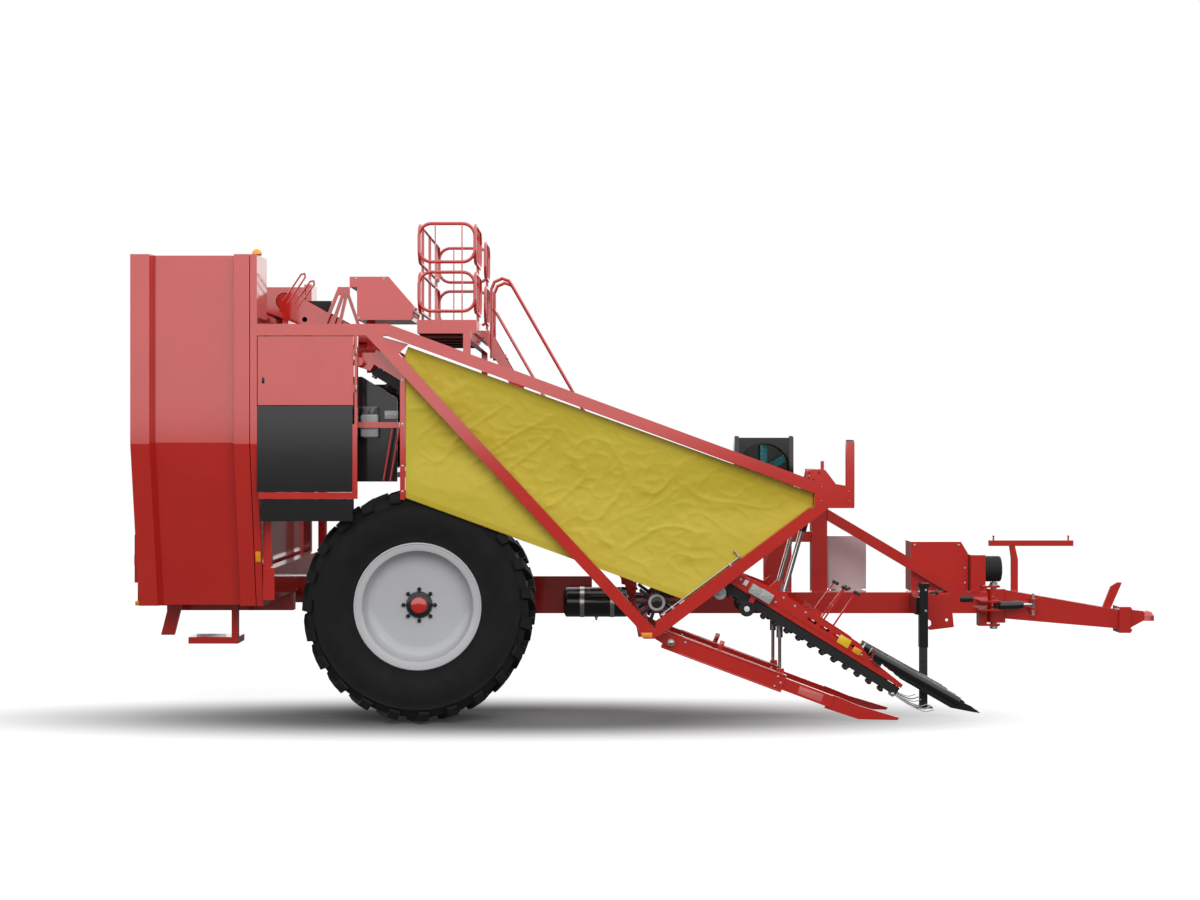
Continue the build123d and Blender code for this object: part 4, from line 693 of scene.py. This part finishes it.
def line_slab(line, name, along, up, across, edge):
    """A plate on a sloped part, between two places along it, square to it and across it."""
    x, z = line_point(line, sum(along) / 2, sum(up) / 2)
    half_along, half_up = (along[1] - along[0]) / 2, (up[1] - up[0]) / 2
    low = (x - half_along, across[0], z - half_up)
    return slab(name, low, (x + half_along, across[1], z + half_up), edge, line[1])


roller_profile = [(0, 0.011), (0.004, 0.019), (0.030, 0.021)]
roller_profile += [(0.118, 0.021), (0.144, 0.019), (0.148, 0.011)]
roller_places = [(0.30 + 0.12 * step, -0.056) for step in range(43)]
rollers = []
for row in row_middles:
    rollers += line_points(unit_line, row + 0.074, roller_places)
roller = turned("belt_rollers", rollers[0], to_right, roller_profile, 10)
set_on(repeated(roller, shifts(rollers[0], rollers[1:])), belt_rubber, "lift_unit")

disc = [(-0.001, 0.060), (0.001, 0.067), (0.018, 0.067)]
disc += [(0.0205, 0.062), (0.0205, 0.046), (0.0190, 0.040)]
hub = [(0.0185, 0.0245), (0.0275, 0.0245), (0.0290, 0.021)]
grey_disc = [(-0.001, 0.052), (0.001, 0.056), (0.018, 0.056)]
grey_disc += [(0.0200, 0.052), (0.0200, 0.036), (0.0185, 0.032)]
grey_hub = [(0.0185, 0.0235), (0.0275, 0.0235), (0.029, 0.020)]
discs, hubs, grey_discs = [], [], []
for row in row_middles:
    for profile, along, up, kept in (
        (disc, 3.976, -0.068, discs),
        (hub, 3.976, -0.068, hubs),
        (grey_disc, 3.706, -0.075, grey_discs),
        (grey_hub, 3.706, -0.075, grey_discs),
    ):
        x, z = line_point(unit_line, along, up)
        axle_end = (x, row - cheek_side, z)
        kept.append(turned(f"guide_wheel_{len(kept)}", axle_end, to_right, profile, 40))
set_on(joined("guide_wheels", discs), belt_rubber, "lift_unit")
set_on(joined("guide_hubs", hubs), white_plate, "lift_unit")
set_on(joined("idler_discs", grey_discs), grey_iron, "lift_unit")

cheek_face = row_middles[0] - cheek_side
cheek_skin = cheek_face + 0.0005
yellow_plate = lacquer("yellow_plate", (0.70, 0.46, 0.015), (0.76, 0.52, 0.02), 1.45)
plate_across = (cheek_face - 0.002, cheek_skin)
blank_plates = (
    ("yellow", (4.790, 4.900), (0.096, 0.172), yellow_plate),
    ("amber", (4.945, 5.020), (0.096, 0.146), amber),
    ("white", (3.835, 3.870), (0.094, 0.146), white_plate),
)
for tone, along, up, finish in blank_plates:
    plate = line_slab(unit_line, f"blank_plate_{tone}", along, up, plate_across, 0.0008)
    set_on(plate, finish, "lift_unit")
body_across, cap_across = (cheek_face - 0.055, cheek_skin), (cheek_face - 0.057, cheek_skin)
motor_body = line_slab(unit_line, "row_motor", (3.905, 4.005), (0.062, 0.150), body_across, 0.006)
motor_cap = line_slab(unit_line, "motor_cap", (4.000, 4.118), (0.064, 0.157), cap_across, 0.008)
set_on(joined("row_motor", [motor_body, motor_cap]), grey_iron, "lift_unit")
motor_places = [(along, 0.106) for along in (3.925, 3.985, 4.030, 4.090)]
motor_bolts = line_points(unit_line, cheek_face - 0.0545, motor_places)
bolts("motor_bolts", motor_bolts, to_right, zinc, 0.8, "lift_unit")
cheek_places = ((3.80, 0.122), (4.20, 0.180), (4.32, 0.170))
cheek_places += ((4.43, 0.172), (5.035, 0.112), (4.16, 0.112))
cheek_bolts = line_points(unit_line, cheek_face, cheek_places)
bolts("cheek_bolts", cheek_bolts, to_right, zinc, 0.85, "lift_unit")
knob_profile = [(0, 0.007), (0.004, 0.015), (0.014, 0.018), (0.024, 0.015), (0.029, 0.006)]
knob_places = ((1.560, 1.187), (1.588, 1.172), (1.664, 1.143), (1.692, 1.128))
knobs = [(x, row - 0.053, z) for row in row_middles for x, z in knob_places]
knob = turned("rod_knobs", knobs[0], to_right, knob_profile, 16)
set_on(repeated(knob, shifts(knobs[0], knobs[1:])), hub_black, "lift_unit")

tine_root, tine_length, tine_height, tine_steps = 1.985, 0.36, 0.095, 12
tine_parts = []
for row in row_middles:
    for shift, drop in ((-0.055, 0.0), (-0.020, 0.018), (0.020, 0.006), (0.055, 0.024)):
        run = []
        for step in range(tine_steps + 1):
            share = step / tine_steps
            rise = 0.170 * (1 - share) ** 1.7 + 0.030 * max(0.0, share - 0.8) / 0.2
            x = tine_root + (tine_length - drop) * share
            run.append((x, row + shift * (1 + 0.5 * share), tine_height + drop + rise))
        tine_parts.append(bent_tube("tine", run, 0.004))
    holder = (1.972, row - 0.075, 0.238)
    tine_parts.append(slab("tine_holder", holder, (2.002, row + 0.075, 0.272), 0.004))
set_on(joined("lifting_tines", tine_parts), zinc, "lift_unit")

# Finger rotors: black rubber fingers set in rings round a cast hub, which hangs under the unit.
# The hub's end ring is grey cast iron, and a dark cap closes it.
end_ring = [(0, 0.050), (0, 0.074), (0.008, 0.074), (0.011, 0.070), (0.011, 0.050)]
end_cap = [(0, 0.050), (0.014, 0.048), (0.018, 0.042), (0.018, 0.014), (0.026, 0.012)]
for name, along, up in (("front", 3.285, -0.431), ("rear", 2.349, -0.321)):
    rotor = f"rotor_{name}"
    rotor_end = line_points(unit_line, row_middles[0] - 0.0595, [(along, up)])[0]
    ring = turned(f"rotor_ring_{name}", rotor_end, to_right, end_ring, 40, ring=True)
    set_on(ring, grey_iron, rotor)
    cap = turned(f"rotor_cap_{name}", rotor_end, to_right, end_cap, 24)
    set_on(cap, hub_black, rotor)

# Share arms: welded sleeves and slim beams in red, with bolts through the joint, and a pale bare
# plate on the right one. Each beam has a flange above and below it, and a stop on its top.
share_line = (share_shaft, math.radians(20.5))
pale_red = lacquer("pale_red_plate", (0.52, 0.10, 0.09), (0.57, 0.13, 0.12), 1.45)
arm_face = (row_middles[0] - 0.034, row_middles[0] - 0.0315)
share_plate = line_slab(share_line, "share_plate", (1.19, 1.41), (-0.034, 0.034), arm_face, 0.0008)
set_on(share_plate, pale_red, "share_arms")
# Each part of an arm: its name, its reach along and square to the arm, and its edge's radius.
arm_pieces = (
    ("arm_flange", (0.10, 1.04), (0.064, 0.0795), (-0.050, 0.050), 0.003),
    ("arm_under", (0.10, 1.04), (-0.0785, -0.066), (-0.047, 0.047), 0.003),
    ("arm_stop", (0.405, 0.445), (0.075, 0.165), (-0.030, 0.005), 0.004),
)
for number, row in enumerate(row_middles):
    arm = []
    for name, along, up, (right, left), edge in arm_pieces:
        arm.append(line_slab(share_line, name, along, up, (row + right, row + left), edge))
    set_on(joined(f"arm_flanges_{number}", arm), red_paint, "share_arms")
bolt_places = ((0.98, 0.045), (0.98, -0.045), (1.02, 0.0), (0.12, 0.04))
share_bolts = []
for row in row_middles:
    share_bolts += line_points(share_line, row - 0.042, bolt_places)
bolts("share_bolts", share_bolts, to_right, zinc, 0.9, "share_arms")

# Canvas: coated yellow cloth cut to the bay of the side frame, hemmed along its upper edge and
# lashed flat behind the tubes. It hangs in a little between them, with long slack folds from the
# upper front corner, a crumple from being rolled up, and it lies close to the frame at the tyre.
canvas_outline = (
    (-2.234, 3.210),
    (-2.209, 3.270),
    (1.286, 2.007),
    (1.286, 1.884),
    (0.170, 1.087),
    (-2.232, 1.964),
)
canvas_face = -1.5496
canvas_slope = math.radians(19.87)
grid_size, grid_middle = (3.9, 1.36), (-0.655, canvas_face, 2.047)
cloth_pitch = 0.0125
hem_width = 0.085
bpy.ops.object.select_all(action="DESELECT")
bpy.ops.mesh.primitive_grid_add(
    x_subdivisions=round(grid_size[0] / cloth_pitch),
    y_subdivisions=round(grid_size[1] / cloth_pitch),
    size=1,
    location=grid_middle,
    rotation=(math.radians(90), canvas_slope, 0),
)
cloth = bpy.context.object
cloth.name = "canvas_cloth"
cloth.scale = (*grid_size, 1)
bpy.ops.object.transform_apply()
bpy.ops.object.mode_set(mode="EDIT")
canvas_edges = list(zip(canvas_outline, canvas_outline[1:] + canvas_outline[:1]))
for (x_a, z_a), (x_b, z_b) in canvas_edges:
    outward = Vector((z_a - z_b, 0, x_b - x_a)).normalized()
    bpy.ops.mesh.select_all(action="SELECT")
    bpy.ops.mesh.bisect(plane_co=(x_a, canvas_face, z_a), plane_no=outward, clear_outer=True)
bpy.ops.object.mode_set(mode="OBJECT")

tyre_middle, tyre_reach = (-2.137, 1.02), 1.05
near_tyre, near_tube, frame_gap, hem_lap = 0.3, 0.16, 0.004, 0.0015
sag_depth, fold_depth, cross_depth = 0.034, 0.016, 0.010
crease_depth, crinkle_depth, crumple_depth = 0.010, 0.006, 0.004


def edge_gap(x, z, start, end):
    """How far inside one edge of the cut a place lies."""
    run_x, run_z = end[0] - start[0], end[1] - start[1]
    return ((x - start[0]) * run_z - (z - start[1]) * run_x) / math.hypot(run_x, run_z)


def sharp(wave, power):
    """A thin crisp ridge where a wave goes through nought."""
    return (1 - min(1.0, abs(wave))) ** power


def hang(x, z):
    """How far the cloth hangs in from the frame at a place."""
    gap = max(0.0, min(edge_gap(x, z, *edge) for edge in canvas_edges))
    tyre_gap = math.hypot(x - tyre_middle[0], z - tyre_middle[1]) - tyre_reach
    free = min(1.0, max(0.0, tyre_gap / near_tyre))
    slack = 1 - math.exp(-gap / near_tube)
    over = 0.57 * x - 0.82 * z
    under = 0.82 * x + 0.57 * z
    sway = noise.noise(Vector((x * 0.9, z * 0.9, 2.0)))
    long_fold = noise.noise(Vector((over * 2.6 + sway * 0.8, under * 0.5, 3.0)))
    cross_fold = noise.noise(Vector((x * 0.9, z * 1.1, 9.0)))
    crease = sharp(noise.noise(Vector((x * 2.6 + sway, z * 3.4 + sway, 1.0))), 14)
    crinkle = sharp(noise.noise(Vector((x * 6.5 + sway * 2, z * 8.0 - sway, 7.0))), 9)
    crumple = noise.noise(Vector((x * 13.0, z * 15.0, 5.0)))
    depth = sag_depth * free * slack * (1 + 0.5 * cross_fold)
    loose = slack * (0.3 + 0.7 * free)
    depth += loose * (fold_depth * long_fold + cross_depth * cross_fold)
    depth -= loose * (crease_depth * crease + crinkle_depth * crinkle)
    depth -= hem_lap if edge_gap(x, z, *canvas_edges[1]) < hem_width else 0.0
    depth += loose * crumple_depth * crumple
    return max(0.0, depth + frame_gap)


flat = cloth.data.uv_layers.new(name="cut")
top_start, top_end = canvas_edges[1]
places = [(corner.co.x, corner.co.z) for corner in cloth.data.vertices]
for loop in cloth.data.loops:
    x, z = places[loop.vertex_index]
    level, rise = x - top_start[0], z - top_start[1]
    along = level * math.cos(canvas_slope) - rise * math.sin(canvas_slope)
    flat.data[loop.index].uv = (along, edge_gap(x, z, top_start, top_end))
for corner, (x, z) in zip(cloth.data.vertices, places):
    corner.co.y = canvas_face + hang(x, z)
wall = cloth.modifiers.new("wall", "SOLIDIFY")
wall.thickness = 0.0012
wall.offset = -1
bpy.ops.object.modifier_apply(modifier=wall.name)
bpy.ops.object.shade_smooth()


def coated_cloth(name, dark, light, hem_tone):
    """Coated cloth: a two-tone ground, a darker hem, a fine weave and a crumple."""
    finish, tree, shader, place = new_material(name)
    cut = place.outputs["UV"]
    blotches = speckle(tree, place, 1.6, 3.0, (0.6, 1.0, 1.5))
    down = shading(tree, "SeparateXYZ", {"Vector": cut}).outputs["Y"]
    band = {"From Min": hem_width - 0.003, "From Max": hem_width, "To Min": 1.0, "To Max": 0.0}
    hem = {
        "Factor": shading(tree, "MapRange", {**band, "Value": down}).outputs["Result"],
        "A": two_tone(tree, blotches, dark, light, 0.35, 0.65),
        "B": (*hem_tone, 1),
    }
    hemmed = shading(tree, "Mix", hem, data_type="RGBA", blend_type="MULTIPLY")
    weave = shading(tree, "TexWave", {"Scale": 180.0, "Distortion": 1.5, "Vector": cut})
    rolled = {"Scale": 13.0, "Detail": 4.0, "Vector": place.outputs["Object"]}
    crumple = shading(tree, "TexNoise", rolled, noise_type="RIDGED_MULTIFRACTAL")
    fine = relief(tree, weave.outputs["Fac"], 0.0002, 0.5)
    sockets = {
        "Base Color": hemmed.outputs["Result"],
        "Normal": relief(tree, crumple.outputs["Fac"], 0.003, over=fine),
        "Roughness": 0.52,
        "Specular IOR Level": 0.45,
    }
    feed(tree, shader, sockets)
    return finish


cloth_tones = ((0.455, 0.36, 0.024), (0.52, 0.42, 0.042), (0.90, 0.86, 0.66))
yellow_cloth = coated_cloth("yellow_cloth", *cloth_tones)
cloth.data.materials.append(yellow_cloth)
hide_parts("canvas")
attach(cloth, "chassis")

# Canvas bar: a zinc rod along the strut that the cloth's lower edge is rolled on, with a knob
# to wind it by, in two clips on the strut.
bar_slope, bar_lift = 0.743, 0.046
bar_angle = math.atan(bar_slope)
bar_start = Vector((-0.03, -1.560, 0.902 + bar_slope * bar_lift + 0.016))
bar_way = Vector((math.cos(bar_angle), 0, math.sin(bar_angle)))
rod_profile = [(0, 0.004), (0.002, 0.0065), (0.850, 0.0065), (0.852, 0.004)]
rod = turned("canvas_rod", bar_start, bar_way, rod_profile, 16)
knob_at = bar_start + bar_way * 0.842
stem_profile = [(0, 0.009), (0.05, 0.009), (0.052, 0.014), (0.066, 0.014), (0.069, 0.010)]
stem_way = (-bar_way.z, 0, bar_way.x)
knob_stem = turned("canvas_knob", knob_at, stem_way, stem_profile, 20)
clip_low, clip_high = Vector((-0.012, -0.012, -0.020)), Vector((0.012, 0.010, 0.010))
clips = []
for reach in (0.12, 0.74):
    clip_at = bar_start + bar_way * reach
    low, high = clip_at + clip_low, clip_at + clip_high
    clips.append(slab(f"rod_clip_{len(clips)}", low, high, 0.003, -bar_angle))
set_on(joined("canvas_rod", [rod, knob_stem] + clips), zinc)


# Studio: a dark floor that glows to white away from the machine, its glow held low in an ellipse
# under the machine's right side as a painted shadow laid over the real one, and a pale world that
# the coats mirror dimly from below. Two broad soft lamps light the right side and the top, and
# the camera stands where the photo was taken.
def seen_by_eye(tree):
    """The kinds of ray, and whether one comes from the camera or through clear stuff."""
    kinds = shading(tree, "LightPath", {}).outputs
    direct = {0: kinds["Is Camera Ray"], 1: kinds["Is Transmission Ray"]}
    return kinds, shading(tree, "Math", direct, operation="MAXIMUM").outputs["Value"]


world = bpy.data.worlds.new("studio")
bpy.context.scene.world = world
world.use_nodes = True
sky = world.node_tree
sky_rays, sky_seen = seen_by_eye(sky)
heading = shading(sky, "TexCoord", {}).outputs["Generated"]
height = shading(sky, "SeparateXYZ", {"Vector": heading}).outputs["Z"]
levels = {"From Min": -0.004, "From Max": 0.004, "To Min": 0.10, "To Max": 1.4, "Value": height}
level = shading(sky, "MapRange", levels).outputs["Result"]
by_ray = {"Factor": sky_rays["Is Glossy Ray"], "A": 0.62, "B": level}
unseen = shading(sky, "Mix", by_ray).outputs["Result"]
power = shading(sky, "Mix", {"Factor": sky_seen, "A": unseen, "B": 1.0}).outputs["Result"]
feed(sky, sky.nodes["Background"], {"Color": (1, 1, 1, 1), "Strength": power})


def lamp(name, place, aim, width, height, watts):
    """A broad soft lamp that looks at a point."""
    light = bpy.data.lights.new(name, "AREA")
    light.shape = "RECTANGLE"
    light.size = width
    light.size_y = height
    light.energy = watts
    stand = bpy.data.objects.new(name, light)
    bpy.context.scene.collection.objects.link(stand)
    stand.location = place
    stand.rotation_euler = (Vector(aim) - Vector(place)).to_track_quat("-Z", "Y").to_euler()
    stand.visible_glossy = False


lamp("key_lamp", (0.5, -15, 8.5), (0.5, 0, 1.8), 16, 9, 1650)
lamp("top_lamp", (0, 3, 13), (0, 0, 1), 14, 10, 900)

bpy.ops.mesh.primitive_circle_add(
    vertices=96,
    radius=17,
    fill_type="NGON",
    location=(0, 0, -0.001),
)
floor = bpy.context.object
floor.name = "floor"
finish, tree, shader, place = new_material("pale_floor")
rays, seen = seen_by_eye(tree)
# Painted shadow: the floor's glow is least in an ellipse round this middle, of this reach, and
# rises smoothly to white outside it.
painted_shadow_middle, painted_shadow_reach = (-1.5, -1.1), (4.4, 1.15)
spread = {
    "Location": (-painted_shadow_middle[0] / painted_shadow_reach[0], -painted_shadow_middle[1] / painted_shadow_reach[1], 0),
    "Scale": (1 / painted_shadow_reach[0], 1 / painted_shadow_reach[1], 1),
    "Vector": place.outputs["Object"],
}
spread_place = shading(tree, "Mapping", spread).outputs["Vector"]
away = shading(tree, "VectorMath", {0: spread_place}, operation="LENGTH").outputs["Value"]
fading = {"From Min": 0.35, "From Max": 1.3, "To Min": 0.02, "To Max": 0.9, "Value": away}
painted_shadow_fade = shading(tree, "MapRange", fading, interpolation_type="SMOOTHSTEP").outputs["Result"]
glow = shading(tree, "Math", {0: seen, 1: painted_shadow_fade}, operation="MULTIPLY").outputs["Value"]
# A dark ground colour, so the floor reads dark where the glow is held low, in the painted shadow
# and the real one.
sockets = {
    "Base Color": (0.19, 0.188, 0.186, 1),
    "Roughness": 0.8,
    "Specular IOR Level": 0.0,
    "Emission Color": (1, 1, 1, 1),
    "Emission Strength": glow,
}
feed(tree, shader, sockets)
mirror_tone = shading(tree, "Emission", {"Strength": 0.10}).outputs["Emission"]
by_gloss = {"Fac": rays["Is Glossy Ray"], 1: shader.outputs["BSDF"], 2: mirror_tone}
surface = shading(tree, "MixShader", by_gloss).outputs["Shader"]
feed(tree, tree.nodes["Material Output"], {"Surface": surface})
floor.data.materials.append(finish)

view = bpy.data.cameras.new("photo_view")
view.lens = 52.5
view.sensor_width = 36
view.shift_y = -0.005
stand = bpy.data.objects.new("photo_view", view)
bpy.context.scene.collection.objects.link(stand)
stand.location = (-0.5535, -16.65, 2.43)
stand.rotation_euler = (math.radians(90), 0, 0)
bpy.context.scene.camera = stand
bpy.context.scene.view_settings.view_transform = "Standard"
